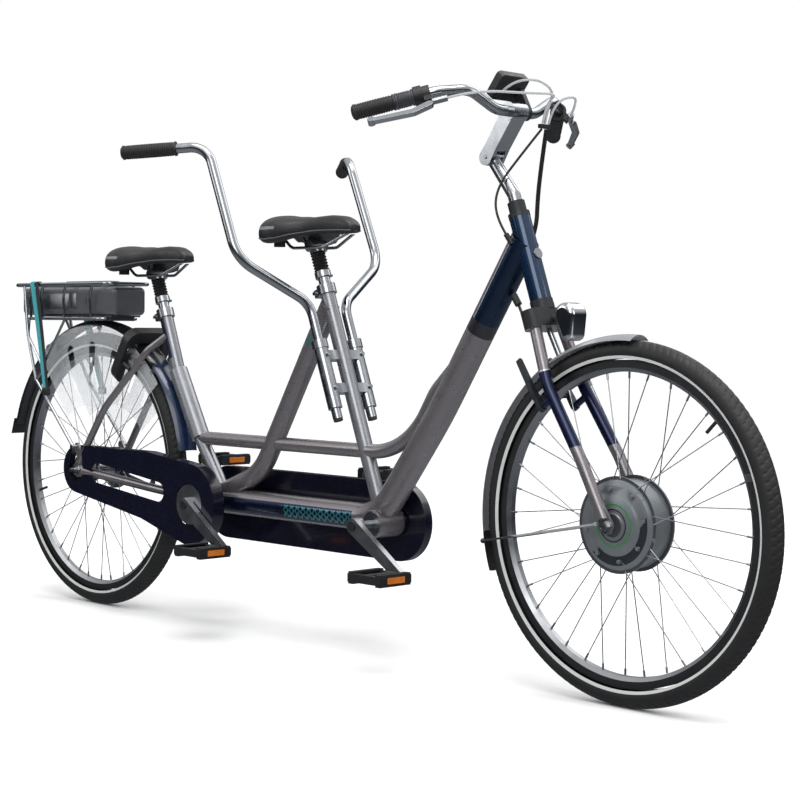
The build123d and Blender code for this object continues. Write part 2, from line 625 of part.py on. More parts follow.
def handlebar_grips():
    """Fixed rubber grips: full length on the left, shorter on the right beside the twist grip."""
    solids = []
    for side, start in ((-1, TWIST_START + TWIST_LENGTH + GRIP_GAP), (1, LEFT_GRIP_START)):
        low, heading = bar_point(start, side)
        high, _ = bar_point(BAR_RUN, side)
        solids.append(ring(low, high, GRIP_DIAMETER, HANDLEBAR_DIAMETER))
        solids.append(rod(high, high + heading * 5, GRIP_DIAMETER - 3))
    return solids


def twist_grip():
    """Rotating shifter sleeve on the right."""
    low, heading = bar_point(TWIST_START, -1)
    high = low + heading * TWIST_LENGTH
    return [ring(low, high, GRIP_DIAMETER + 1, HANDLEBAR_DIAMETER + 2 * RUNNING_FIT)]


LEVER_PIVOT_OUT = 40.0
LEVER_TILT = 40.0
LEVER_TIP_HALF = 7.0


def lever_frame(side):
    """Pivot place, along-bar direction, outward direction and pivot axis of a brake lever."""
    base, along = bar_point(CLAMP_ALONG, side)
    flat = Vector(-along.Y, along.X, 0).normalized() * (-1 if side > 0 else 1)
    drop = along.cross(flat).normalized()
    if drop.Z > 0:
        drop = drop * -1
    tilt = radians(LEVER_TILT)
    out = (flat * cos(tilt) + drop * sin(tilt)).normalized()
    return base, along, out, along.cross(out).normalized()


def bar_clamps():
    """Brake lever brackets on both sides and the shifter's fixed housing on the right."""
    solids = []
    for side in (-1, 1):
        base, along, out, _ = lever_frame(side)
        band = ring(base - along * CLAMP_HALF, base + along * CLAMP_HALF, 34, HANDLEBAR_DIAMETER)
        arm_plane = Plane(origin=base + out * 14, x_dir=along, z_dir=out)
        arm = extrude(arm_plane * Rectangle(15, 14), amount=LEVER_PIVOT_OUT - 24)
        stop = base - along * 22 + out * (LEVER_PIVOT_OUT - 8)
        barrel = rod(stop - along * 16, stop + along * 14, 13)
        bar_space = rod(base - along * 40, base + along * 40, HANDLEBAR_DIAMETER)
        solids.append(band + (arm - bar_space) + (barrel - bar_space))
    low, _ = bar_point(CLAMP_ALONG + CLAMP_HALF, -1)
    high, _ = bar_point(TWIST_START - GRIP_GAP, -1)
    solids.append(ring(low, high, 40, HANDLEBAR_DIAMETER) - solids[0])
    return solids


def brake_lever(side):
    """Lever blade with its pivot eye, just outside the grip."""
    base, along, out, pivot_axis = lever_frame(side)
    plane = Plane(origin=base, x_dir=along, z_dir=pivot_axis)
    sign = 1 if plane.y_dir.dot(out) > 0 else -1
    pivot = (0, sign * LEVER_PIVOT_OUT)
    bend = (34, sign * (LEVER_PIVOT_OUT + 12))
    tip = (118, sign * (LEVER_PIVOT_OUT + 6))
    blade = tapered_bar(pivot, 8, bend, 7) + tapered_bar(bend, 7, tip, 5.5)
    body = extrude(plane * blade, amount=5, both=True)
    return [body + extrude(plane * disc(*tip, 7.5), amount=LEVER_TIP_HALF, both=True)]


def display():
    """Handlebar computer: a tilted case, its screen and the foot that clamps it to the bar."""
    centre = Vector(1428, 0, 1222)
    normal = Vector(-sin(radians(52)), 0, cos(radians(52)))
    plane = Plane(origin=centre, x_dir=(0, 1, 0), z_dir=normal)
    case = extrude(plane * RectangleRounded(84, 58, 10), amount=9, both=True)
    screen = extrude(plane.offset(9) * RectangleRounded(66, 40, 4), amount=1.2)
    foot = slab(tapered_bar((BAR_CENTRE.X, BAR_CENTRE.Z), 16, (1432, 1212), 10), 24, 36)
    foot = foot - rod((BAR_CENTRE.X, 10, BAR_CENTRE.Z), (BAR_CENTRE.X, 50, BAR_CENTRE.Z), HANDLEBAR_DIAMETER)
    return [case, screen, foot - case - handlebar()[0]]


# ---------------------------------------------------------------- front rim brake
PAD_FACE = RIM_WIDTH / 2 + 2.0


def brake_arm(side):
    """One front brake arm on its boss, with its pad facing the rim."""
    boss = BRAKE_BOSS
    plane = Plane(origin=boss, x_dir=(0, 1, 0), z_dir=BRAKE_AXIS)
    length = (BRAKE_ARM_TOP - boss).length
    up_sign = 1 if plane.y_dir.dot(BRAKE_ARM_UP) > 0 else -1
    profile = tapered_bar((0, 0), 9, (2, up_sign * 40), 6.5) + tapered_bar((2, up_sign * 40), 6.5,
                                                                          (-4, up_sign * length), 5)
    body = extrude(plane * profile, amount=5, both=True)
    bore = rod(boss - BRAKE_AXIS * 20, boss + BRAKE_AXIS * 20, BRAKE_PIN_DIAMETER + 2 * RUNNING_FIT)
    pad_centre = polar(FRONT_HUB, 306, degrees(atan2(boss.Z - HUB_Z, boss.X - FRONT_HUB.X)))
    post = rod(pad_centre + Vector(0, PAD_FACE + 8, 0), pad_centre + Vector(0, BRAKE_Y + 10, 0), 7)
    tangent = (pad_centre - FRONT_HUB).normalized().cross(Vector(0, 1, 0))
    pad_plane = Plane(origin=pad_centre + Vector(0, PAD_FACE, 0), x_dir=tangent, z_dir=(0, 1, 0))
    pad = extrude(pad_plane * SlotOverall(58, 11), amount=9)
    solids = [(body + post) - bore - pad, pad]
    return solids if side > 0 else [mirror(s, about=Plane.XZ) for s in solids]


# ---------------------------------------------------------------- wheels
def tyre(centre):
    """Open-bellied tyre whose beads sit inside the rim flanges."""
    middle = TYRE_RADIUS - TYRE_SECTION / 2
    outer, inner = TYRE_SECTION / 2, TYRE_SECTION / 2 - TYRE_WALL
    flange_clear = RIM_OUTER_RADIUS + 0.3
    bead = RIM_WIDTH / 2 - RIM_WALL - 0.3
    section = Pos(middle, 0) * (Circle(outer) - Circle(inner))
    section = section & (Pos(flange_clear + 50, 0) * Rectangle(100, 100))
    for sign in (-1, 1):
        section = section + Pos(flange_clear - 3.5, sign * (bead - 1.3)) * Rectangle(15, 2.6)
        section = section + Pos(flange_clear + 1.7, sign * (bead + 1.0)) * Rectangle(3.4, 7.2)
    body = revolve(section, axis=Axis.Y)
    return [Pos(centre.X, 0, centre.Z) * body]


def rim(centre, valve_angle):
    """Rim channel with its valve."""
    half, floor = RIM_WIDTH / 2, RIM_OUTER_RADIUS - 13
    lip = half - RIM_WALL
    profile = [(RIM_OUTER_RADIUS, half), (RIM_OUTER_RADIUS, lip), (floor, lip), (floor, -lip),
               (RIM_OUTER_RADIUS, -lip), (RIM_OUTER_RADIUS, -half), (floor - 2, -half),
               (RIM_INNER_RADIUS, -6), (RIM_INNER_RADIUS, 6), (floor - 2, half)]
    channel = turned(profile, centre)
    valve = rod(polar(centre, RIM_INNER_RADIUS + 4, valve_angle), polar(centre, 262, valve_angle), 7)
    return [channel + valve]


NIPPLE_GAP = 0.9


def spokes(centre, hole_radius, flange_y, lead):
    """Tangential spokes with their nipples, alternately to the right and left flange."""
    solids = []
    step = 360 / SPOKE_COUNT
    for index in range(SPOKE_COUNT):
        side = -1 if index % 2 == 0 else 1
        trail = lead if (index // 2) % 2 == 0 else -lead
        rim_end = polar(centre, RIM_INNER_RADIUS, index * step, side * 2.5)
        hub_end = polar(centre, hole_radius, index * step + trail, side * flange_y)
        heading = (hub_end - rim_end).normalized()
        wire = rod(hub_end, rim_end + heading * NIPPLE_GAP, SPOKE_DIAMETER)
        wire = wire + rod(rim_end + heading * NIPPLE_GAP, rim_end + heading * 13, 4.4)
        solids.append(wire)
    return solids


MOTOR_RADIUS = 94.0
MOTOR_HALF = 43.0
MOTOR_FLANGE_Y = 27.0


def motor_hub():
    """Hub motor shell: two flanges, tapered covers, bosses and the ring of cover screws."""
    bore = FRONT_AXLE_DIAMETER / 2 + RUNNING_FIT
    flange, waist = MOTOR_RADIUS, MOTOR_RADIUS - 7
    face, thick = MOTOR_FLANGE_Y, 2.2
    half = [(bore, MOTOR_HALF + 3), (22, MOTOR_HALF + 3), (24, MOTOR_HALF), (52, MOTOR_HALF - 3),
            (60, MOTOR_HALF - 8), (waist - 9, face + 8), (waist, face + thick), (flange, face + thick),
            (flange, face - thick), (waist, face - thick)]
    profile = half + [(r, -y) for r, y in reversed(half)]
    body = turned(profile, FRONT_HUB)
    for index in range(8):
        spot = polar(FRONT_HUB, 70, index * 45 + 10)
        for side in (-1, 1):
            start = Vector(spot.X, side * (face + 8), spot.Z)
            body = body + rod(start, start + Vector(0, side * 5.5, 0), 8)
    return [body]


REAR_FLANGE_RADIUS = 36.0
REAR_FLANGE_Y = 28.0


def rear_hub():
    """Internal-gear rear hub shell with its flanges and the driver that carries the sprocket."""
    bore = REAR_AXLE_DIAMETER / 2 + RUNNING_FIT
    driver = 15.0
    profile = [(bore, -56), (driver, -56), (driver, -44), (27, -44), (30, -34), (REAR_FLANGE_RADIUS, -30),
               (REAR_FLANGE_RADIUS, -26), (30, -26), (28, 0), (30, 26), (REAR_FLANGE_RADIUS, 26),
               (REAR_FLANGE_RADIUS, 30), (31, 30), (29, 36), (bore, 36)]
    return [turned(profile, REAR_HUB)]


def toothed_ring(centre, radius, bore, y_low, y_high, teeth):
    """Flat ring with simple round tooth gaps."""
    outline = disc(centre.X, centre.Z, radius) - disc(centre.X, centre.Z, bore)
    gap_radius = radius * sin(pi / teeth) * 0.62
    plate = slab(outline, y_low, y_high)
    gaps = [disc(*(polar(centre, radius + gap_radius * 0.35, 360 * i / teeth).X,
                   polar(centre, radius + gap_radius * 0.35, 360 * i / teeth).Z), gap_radius)
            for i in range(teeth)]
    cutter = slab(Sketch() + gaps, y_low - 1, y_high + 1)
    return plate - cutter


def rear_sprocket():
    """Chain sprocket on the hub's driver."""
    half = 2.0
    return [toothed_ring(REAR_HUB, SPROCKET_RADIUS, 15 + RUNNING_FIT, DRIVE_CHAIN_Y - half,
                         DRIVE_CHAIN_Y + half, 17)]


def rear_brake():
    """Finned hub brake beside the left flange, with its reaction arm to the chainstay."""
    profile = [(REAR_AXLE_DIAMETER / 2, 39), (40, 39), (40, 42)]
    for index in range(3):
        low = 42 + index * 4.5
        profile += [(54, low), (54, low + 2), (42, low + 2), (42, low + 4.5)]
    face = REAR_DROPOUT_Y - DROPOUT_THICKNESS / 2
    profile += [(14, 55.5), (14, face), (REAR_AXLE_DIAMETER / 2, face)]
    body = turned(profile, REAR_HUB)
    arm = slab(tapered_bar((10, HUB_Z - 16), 9, (150, 314), 6), 50, 53)
    stay = chainstay_outer()
    lug = slab(tapered_bar((150, 314), 6, (150, 324), 7), 53, 60) - stay
    return [body + arm, lug]


# ---------------------------------------------------------------- cranks, rings, chains and cases
ARM_INNER = 80.0
ARM_OUTER = 94.0
BOSS_INNER = 70.0


def crank_arm(bracket, side):
    """One arm with its boss, lying outside the chain cases."""
    end = crank_end(bracket, side)
    low, high = (ARM_INNER, ARM_OUTER) if side > 0 else (-ARM_OUTER, -ARM_INNER)
    arm = slab(tapered_bar((bracket.X, bracket.Z), 17, (end.X, end.Z), 11.5), low, high)
    boss_low, boss_high = (BOSS_INNER, ARM_OUTER) if side > 0 else (-ARM_OUTER, -BOSS_INNER)
    arm = arm + slab(disc(bracket.X, bracket.Z, 17), boss_low, boss_high)
    arm = arm - slab(disc(bracket.X, bracket.Z, SPINDLE_DIAMETER / 2), -120, 120)
    return arm - slab(disc(end.X, end.Z, 7 + RUNNING_FIT), -120, 120)


def timing_ring(bracket):
    """Left ring for the timing chain, on a sleeve that meets the crank boss."""
    outer = toothed_ring(bracket, TIMING_RING_RADIUS, 46, TIMING_CHAIN_Y - 2, TIMING_CHAIN_Y + 2, 32)
    spider = Pos(bracket.X, bracket.Z) * (Circle(46) - Circle(SPINDLE_DIAMETER / 2))
    for index in range(5):
        hole = polar(Vector(bracket.X, 0, bracket.Z), 31, index * 72 + 20)
        spider = spider - disc(hole.X, hole.Z, 9)
    sleeve = disc(bracket.X, bracket.Z, 14) - disc(bracket.X, bracket.Z, SPINDLE_DIAMETER / 2)
    return outer + slab(spider, TIMING_CHAIN_Y - 2, TIMING_CHAIN_Y + 2) + slab(sleeve, 53, BOSS_INNER)


def crankset(bracket, with_drive_ring):
    """Spindle, both arms, dust caps and rings of one crankset."""
    spindle = slab(disc(bracket.X, bracket.Z, SPINDLE_DIAMETER / 2), -ARM_OUTER + 2, ARM_OUTER - 2)
    solids = [spindle, crank_arm(bracket, -1), crank_arm(bracket, 1), timing_ring(bracket)]
    cap = slab(disc(bracket.X, bracket.Z, 11), ARM_OUTER, ARM_OUTER + 2.5)
    solids += both_sides(cap)
    if with_drive_ring:
        ring_disc = toothed_ring(bracket, DRIVE_RING_RADIUS, SPINDLE_DIAMETER / 2, DRIVE_CHAIN_Y - 2,
                                 DRIVE_CHAIN_Y + 2, 33)
        sleeve = disc(bracket.X, bracket.Z, 20) - disc(bracket.X, bracket.Z, SPINDLE_DIAMETER / 2)
        guard = disc(bracket.X, bracket.Z, 48) - disc(bracket.X, bracket.Z, SPINDLE_DIAMETER / 2)
        solids.append(ring_disc + slab(sleeve, -BOSS_INNER, DRIVE_CHAIN_Y - 2)
                      + (slab(guard, -77, -73.5) - slab(disc(bracket.X, bracket.Z, 17), -80, -70))
                      + slab(disc(bracket.X, bracket.Z, 26) - disc(bracket.X, bracket.Z, 17), -74, -66)
                      + slab(sleeve_ring(bracket), -70, -66))
    return solids


def sleeve_ring(bracket):
    """Flange that carries the chrome guard disc on the drive ring's sleeve."""
    return disc(bracket.X, bracket.Z, 26) - disc(bracket.X, bracket.Z, SPINDLE_DIAMETER / 2)


def chain_loop(start, start_radius, end, end_radius, side):
    """Closed chain as a band round two rings."""
    inner = tapered_bar(start, start_radius + CHAIN_GAP, end, end_radius + CHAIN_GAP)
    outer = tapered_bar(start, start_radius + CHAIN_GAP + CHAIN_THICKNESS, end,
                        end_radius + CHAIN_GAP + CHAIN_THICKNESS)
    return slab(outer - inner, side - CHAIN_WIDTH / 2, side + CHAIN_WIDTH / 2)


def chains():
    """Drive chain on the right and timing chain on the left."""
    rear, front, hub = (REAR_BRACKET.X, REAR_BRACKET.Z), (FRONT_BRACKET.X, FRONT_BRACKET.Z), (0, HUB_Z)
    drive = chain_loop(rear, DRIVE_RING_RADIUS, hub, SPROCKET_RADIUS, DRIVE_CHAIN_Y)
    timing = chain_loop(front, TIMING_RING_RADIUS, rear, TIMING_RING_RADIUS, TIMING_CHAIN_Y)
    return [drive, timing]


CASE_WALL = 2.0
DRIVE_CASE_FACE = -78.0
DRIVE_CASE_INNER = -46.0


def drive_case_outline(inset):
    """Side view of the drive chain case, shrunk by an inset."""
    rear, middle, front = (5, 357), (300, 334), (REAR_BRACKET.X, REAR_BRACKET.Z)
    return (tapered_bar(middle, 84 - inset, rear, 61 - inset)
            + tapered_bar(front, 98 - inset, middle, 84 - inset))


def drive_chain_case():
    """Tray over the drive chain, open on the wheel side, with a long window and two round holes."""
    face = slab(drive_case_outline(0), DRIVE_CASE_FACE, DRIVE_CASE_FACE + CASE_WALL)
    rim_wall = slab(drive_case_outline(0) - drive_case_outline(CASE_WALL), DRIVE_CASE_FACE + CASE_WALL,
                    DRIVE_CASE_INNER)
    case = face + rim_wall
    case = case - slab(disc(REAR_BRACKET.X, REAR_BRACKET.Z, 50), -90, -70)
    window = tapered_bar((352, 322), 24, (95, 352), 25)
    case = case - slab(window, -90, -70)
    stay = mirror(chainstay_outer(), about=Plane.XZ)
    seat_stay = mirror(seatstay_outer(), about=Plane.XZ)
    dropout = mirror(rear_dropout(), about=Plane.XZ)
    case = case - slab(disc(0, HUB_Z, 30), -90, -70)
    room = rod((20, -REAR_DROPOUT_Y, 353), (200, -58, 336), CHAINSTAY_DIAMETER + 4)
    stay_room = rod((4, -REAR_DROPOUT_Y, 374), (110, -66, 518), SEATSTAY_DIAMETER + 2)
    dropout_room = slab(tapered_bar((0, HUB_Z), 30, (4, 430), 18), -90, -64)
    for cutter in (stay, seat_stay, dropout, room, stay_room, dropout_room):
        case = case - cutter
    return [max(case.solids(), key=lambda s: s.volume)]


TIMING_CASE_RADIUS = 88.0
TIMING_CASE_INNER = 44.0
TIMING_CASE_OUTER = 66.0


def timing_chain_case():
    """Closed case round the timing chain, in one shell with holes for the two spindles."""
    rear, front = (REAR_BRACKET.X, REAR_BRACKET.Z), (FRONT_BRACKET.X, FRONT_BRACKET.Z)
    outer = tapered_bar(front, TIMING_CASE_RADIUS, rear, TIMING_CASE_RADIUS)
    inner = tapered_bar(front, TIMING_CASE_RADIUS - CASE_WALL, rear, TIMING_CASE_RADIUS - CASE_WALL)
    shell = slab(outer, TIMING_CASE_INNER, TIMING_CASE_OUTER)
    shell = shell - slab(inner, TIMING_CASE_INNER + CASE_WALL, TIMING_CASE_OUTER - CASE_WALL)
    for centre in (rear, front):
        shell = shell - slab(disc(*centre, 18), TIMING_CASE_INNER - 1, TIMING_CASE_OUTER + 1)
        collar = disc(*centre, 27) - disc(*centre, 12)
        shell = shell + slab(collar, SHELL_HALF_WIDTH, TIMING_CASE_INNER + CASE_WALL)
    return [shell]


def pedal(bracket, side):
    """Flat pedal: axle, body frame, rubber treads and amber reflectors."""
    end = crank_end(bracket, side)
    inner = ARM_OUTER + 6
    outer = inner + PEDAL_WIDTH
    axle_rod = slab(disc(end.X, end.Z, 7), ARM_OUTER - 12, inner + PEDAL_WIDTH - 6)
    half, tall = PEDAL_LENGTH / 2, 12.0
    frame = Pos(end.X, (inner + outer) / 2, end.Z) * Box(PEDAL_LENGTH, PEDAL_WIDTH, 2 * tall - 6)
    for hole_side in (-1, 1):
        opening = Pos(end.X + hole_side * half * 0.5, (inner + outer) / 2, end.Z)
        frame = frame - opening * Box(half * 0.62, PEDAL_WIDTH - 26, 40)
    frame = frame - axle_rod
    treads = []
    for level in (-1, 1):
        for tread_side in (-1, 1):
            place = Pos(end.X + tread_side * (half - 8), (inner + outer) / 2, end.Z + level * (tall - 1.0))
            treads.append(place * Box(15, PEDAL_WIDTH - 4, 4))
    reflectors = []
    for reflector_side in (-1, 1):
        place = Pos(end.X + reflector_side * (half + 1.5), (inner + outer) / 2, end.Z)
        reflectors.append(place * Box(3, 48, 13))
    solids = [axle_rod, frame, *treads, *reflectors]
    return solids if side > 0 else [mirror(s, about=Plane.XZ) for s in solids]


# ---------------------------------------------------------------- seats
POST_INSERTION = 150.0
POST_REACH = 30.0
BOOT_LENGTH = 46.0
PISTON_DIAMETER = 20.0


def seatpost(collar):
    """Hollow post in the seat tube with the gland collar that the suspension piston enters."""
    foot, head = collar - SEAT_UP * POST_INSERTION, collar + SEAT_UP * POST_REACH
    post = ring(foot, head, SEATPOST_DIAMETER, PISTON_DIAMETER + 2 * SLIDING_FIT)
    gland = ring(head - SEAT_UP * 14, head, 37, SEATPOST_DIAMETER)
    knob = rod(head - SEAT_UP * 7 + Vector(0, 18, 0), head - SEAT_UP * 7 + Vector(0, 26, 0), 9)
    return [post + gland + (knob - rod(foot, head, SEATPOST_DIAMETER))]


def seat_boot(collar):
    """Rubber bellows around the piston, between the gland and the saddle clamp."""
    start = collar + SEAT_UP * (POST_REACH + SOFT_GAP)
    length = BOOT_LENGTH - 2 * SOFT_GAP
    fold = length / 6
    bore = PISTON_DIAMETER / 2 + 1.0
    profile = [(bore, 0), (15.5, 0)]
    for index in range(6):
        profile += [(17.5, (index + 0.35) * fold), (17.5, (index + 0.65) * fold), (15.5, (index + 1) * fold)]
    profile += [(bore, length)]
    body = revolve(make_face(Polyline(*profile, close=True)), axis=Axis.Y)
    stand = Plane(origin=start, x_dir=(0, 1, 0), z_dir=SEAT_UP)
    return [stand.location * Rot(90, 0, 0) * body]


SADDLE_LENGTH = 262.0
SADDLE_WIDTH = 212.0


def saddle(collar):
    """Padded saddle with its rails, clamp, elastomers and the suspension piston."""
    head = collar + SEAT_UP * (POST_REACH + BOOT_LENGTH)
    piston = rod(collar - SEAT_UP * (POST_INSERTION - 60), head + SEAT_UP * 10, PISTON_DIAMETER)
    clamp = slab(disc(head.X - 4, head.Z + 16, 14), -24, 24) + rod(head, head + SEAT_UP * 12, 34)
    seat_z = head.Z + 40
    rear_x = head.X - 112
    rail_route = [(rear_x + 22, 34, seat_z + 4), (head.X - 62, 24, seat_z - 28), (head.X + 40, 22, seat_z - 28),
                  (head.X + 112, 9, seat_z + 2)]
    rail = pipe(rail_route, 7.0, [22.0, 40.0])
    lobe, nose = 54.0, 24.0
    lobe_x, nose_x = rear_x + lobe, rear_x + SADDLE_LENGTH - nose
    lobe_y = SADDLE_WIDTH / 2 - lobe
    plan = tapered_bar((lobe_x, lobe_y), lobe, (nose_x, 0), nose)
    plan = plan + tapered_bar((lobe_x, -lobe_y), lobe, (nose_x, 0), nose)
    plan = plan + Pos(lobe_x, 0) * Rectangle(2 * lobe - 12, 2 * lobe_y)
    cover = extrude(Plane.XY.offset(seat_z) * plan, amount=46)
    cover = fillet(cover.edges().group_by(Axis.Z)[-1], 20)
    rails = [r - cover - clamp for r in both_sides(rail)]
    bumpers = both_sides(Pos(rear_x + 40, 52, seat_z - 13) * Cylinder(13, 25.9))
    bumpers = [b - r for b, r in zip(bumpers, rails)]
    return [piston + clamp - rails[0] - rails[1], *rails, cover, *bumpers]


# ---------------------------------------------------------------- mudguards, guards and lock
def rear_mudguard():
    """Rear guard with its flap and the block that seats it on the seat tube."""
    band = mudguard_band(REAR_HUB, REAR_MUDGUARD_RADIUS, 10, 165)
    flap_centre = polar(REAR_HUB, FLAP_CENTRE_RADIUS, FLAP_ANGLE)
    flap = Pos(*flap_centre) * Rot(0, FLAP_LEAN, 0) * Box(FLAP_WALL, MUDGUARD_WIDTH - 6, FLAP_HEIGHT)
    hanger = rod(polar(REAR_HUB, REAR_MUDGUARD_RADIUS - 0.5, 36), polar(REAR_HUB, 430, 36), 14)
    hanger = hanger - band - rear_seat_outer()
    hanger = max(hanger.solids(), key=lambda s: -abs(s.center().X - polar(REAR_HUB, 394, 36).X))
    flap = max((flap - band).solids(), key=lambda s: s.volume)
    return [band, flap, hanger]


GUARD_Y = 35.0


def coat_guards():
    """Clear side panels over the upper part of the rear wheel, with their clips."""
    outer_r, inner_r = REAR_MUDGUARD_RADIUS - 15, 165.0
    sector = (Circle(outer_r) - Circle(inner_r)) & make_face(
        Polyline((0, 0), *[(700 * cos(radians(a)), 700 * sin(radians(a))) for a in (38, 62, 86, 110, 128)],
                 close=True))
    for angle in (52, 70, 88, 106):
        slot = tapered_bar((220 * cos(radians(angle)), 220 * sin(radians(angle))), 9,
                           (318 * cos(radians(angle)), 318 * sin(radians(angle))), 14)
        sector = sector - slot
    panel = slab(Pos(REAR_HUB.X, REAR_HUB.Z) * sector, GUARD_Y, GUARD_Y + 1.4)
    clips = []
    for angle in (44, 84, 122):
        centre = polar(REAR_HUB, REAR_MUDGUARD_RADIUS - 18, angle)
        clips.append(Pos(centre.X, GUARD_Y - 3, centre.Z) * Rot(0, 90 - angle, 0) * Box(14, 6, 11))
    solids = both_sides(panel)
    for clip in clips:
        solids += both_sides(clip - mudguard_band(REAR_HUB, REAR_MUDGUARD_RADIUS, 10, 165))
    return solids


LOCK_ANGLE = 59.0


def ring_lock():
    """Horseshoe wheel lock astride the tyre, held to the seatstays by two lugs."""
    plane = radial_plane(REAR_HUB, REAR_MUDGUARD_RADIUS + 3, LOCK_ANGLE)
    outer = Pos(0, -44) * RectangleRounded(140, 150, 34)
    inner = Pos(0, -81) * Rectangle(92, 150) + Pos(0, -20) * RectangleRounded(92, 40, 12)
    shoe = extrude(plane * (outer - inner), amount=13, both=True)
    key = rod(*(plane.from_local_coords(Vector(-58, -18, z)) for z in (12, 19)), 16)
    lugs = []
    for side in (-1, 1):
        start = plane.from_local_coords(Vector(side * 60, -56, 0))
        lug = rod(start, start + Vector(sin(radians(LOCK_ANGLE)), 0, -cos(radians(LOCK_ANGLE))) * 46, 12)
        stay = seatstay_outer() if side > 0 else mirror(seatstay_outer(), about=Plane.XZ)
        lug = lug - stay - shoe
        lugs.append(max(lug.solids(), key=lambda s: s.volume))
    return [shoe, key - shoe, *lugs]


# ---------------------------------------------------------------- carrier, straps and battery
RAIL_Y = 65.0
LOWER_RAIL_Y = 58.0
LOWER_RAIL_Z = 745.0
CARRIER_REAR = -330.0
CARRIER_FRONT = 128.0
LEG_Y = 82.0
BATTERY_REAR = -298.0
DOCK_TOP = 754.0


def carrier():
    """Tubular rear carrier: platform loop, cross bars, lower rails, hoops, legs and battery dock."""
    top = CARRIER_HEIGHT
    loop = [(CARRIER_FRONT, 0, top), (CARRIER_FRONT, RAIL_Y, top), (CARRIER_REAR + 40, RAIL_Y, top),
            (CARRIER_REAR, RAIL_Y - 22, top), (CARRIER_REAR, 0, top)]
    body = pipe(loop, 10.0, [24.0, 40.0, 20.0])
    for x in (-225.0, -60.0, 70.0):
        body = body + rod((x, 0, top), (x, RAIL_Y, top), 8.0)
    lower = [(85, 0, LOWER_RAIL_Z), (85, LOWER_RAIL_Y, LOWER_RAIL_Z), (-250, LOWER_RAIL_Y, LOWER_RAIL_Z)]
    body = body + pipe(lower, 8.0, 20.0)
    for x in (-200.0, -120.0):
        body = body + rod((x, 0, LOWER_RAIL_Z), (x, LOWER_RAIL_Y, LOWER_RAIL_Z), 7.0)
    for x in (-240.0, -185.0, -80.0, 40.0):
        body = body + pipe([(x + 14, RAIL_Y, top), (x, RAIL_Y - 1.5, top - 34), (x, LOWER_RAIL_Y, LOWER_RAIL_Z)],
                           7.0, 40.0)
    knee = (-179, LEG_Y, 582)
    leg = [(-262, RAIL_Y, top), (-236, RAIL_Y + 6, 700), knee]
    body = body + pipe(leg, 8.0, 300.0)
    body = body + rod((-250, LOWER_RAIL_Y, LOWER_RAIL_Z), (-236, RAIL_Y + 6, 700), 8.0)
    body = body + pipe([(-236, RAIL_Y + 6, 700), (-150, RAIL_Y + 13, 612), knee], 7.0, 20.0)
    body = body + rod((-80, LOWER_RAIL_Y, LOWER_RAIL_Z), (-160, RAIL_Y + 15, 606), 7.0)
    body = body + rod(knee, (-6, LEG_Y, 414), 9.0) + Pos(*knee) * Sphere(5.0)
    dropout_face = REAR_DROPOUT_Y + DROPOUT_THICKNESS / 2
    body = body + rod((-6, dropout_face, 414), (-6, LEG_Y + 7, 414), 11.0)
    whole = body + mirror(body, about=Plane.XZ)
    dock = Pos(-45, 0, DOCK_TOP - 2) * Box(310, 90, 4)
    controller = Pos(86, 0, DOCK_TOP - 9) * Box(20, 74, 10)
    clip_plate = Pos(-40, 0, CARRIER_HEIGHT + 7) * Box(190, 34, 3.0)
    spring_feet = [Pos(x, 0, CARRIER_HEIGHT + 4.75) * Box(12, 30, 1.5) for x in (-60.0,)]
    dock = dock - whole
    return [whole, dock, controller - whole - dock, clip_plate, *spring_feet]


def strap_run(start, end, side_y, width, thick):
    """Flat strap between two points in the side plane, folded at neither end."""
    start, end = Vector(*start), Vector(*end)
    along = end - start
    plane = Plane(origin=start, x_dir=along.cross(Vector(0, 1, 0)).normalized(), z_dir=along)
    return extrude(plane * Rectangle(width, thick), amount=along.length)


def carrier_straps():
    """Two elastic straps a side from the carrier's edge down to a hook on the leg."""
    solids = []
    for x, width in ((-214.0, 17.0), (-193.0, 13.0)):
        top = Vector(x, RAIL_Y + 7.2, CARRIER_HEIGHT + 5)
        low = Vector(-126 + (x + 214) * 0.4, LEG_Y + 7.0, 560)
        run = strap_run(top, low, 0, width, 2.4)
        over = Pos(x, RAIL_Y + 1.0, CARRIER_HEIGHT + 6.6) * Box(width, 14.8, 2.4)
        solids += both_sides(run - over)
        solids += both_sides(over)
    hook_low, hook_high = Vector(-124, LEG_Y + 4.8, 546), Vector(-120, LEG_Y + 8.0, 558)
    hook = strap_run(hook_high, hook_low, 0, 34, 5.0)
    straps = solids[0] + solids[4]
    leg = rod((-179, LEG_Y, 582), (-6, LEG_Y, 414), 9.0)
    solids += both_sides(hook - straps - leg)
    return solids


def battery():
    """Sliding battery: middle case, two dark end caps and the key lock."""
    length, width, height = BATTERY_LENGTH, BATTERY_WIDTH, BATTERY_HEIGHT
    low = DOCK_TOP + SOFT_GAP
    middle = Vector(BATTERY_REAR + length / 2, 0, low + height / 2)
    block = Pos(*middle) * Box(length, width, height)
    block = fillet(block.edges().filter_by(Axis.X), 14)
    block = fillet(block.edges().group_by(Axis.X)[0], 12)
    front_faces = block.faces().sort_by(Axis.X)[-1]
    block = fillet(front_faces.edges(), 12)
    rear_cut = Pos(BATTERY_REAR, 0, middle.Z) * Box(120, 200, 200)
    front_cut = Pos(BATTERY_REAR + length, 0, middle.Z) * Box(300, 200, 200)
    lock = rod((BATTERY_REAR + length - 132, -width / 2 - 3, middle.Z + 4),
               (BATTERY_REAR + length - 132, -width / 2 + 3, middle.Z + 4), 20)
    rear_cap, front_cap = block & rear_cut, block & front_cut
    return [block - rear_cut - front_cut, rear_cap, front_cap - lock, lock]


# ---------------------------------------------------------------- cables
CABLE_CLIP = Vector(1490, 43, 1140)
CLIP_HALF_HEIGHT = 4.5
CORD_END_GAP = 0.9


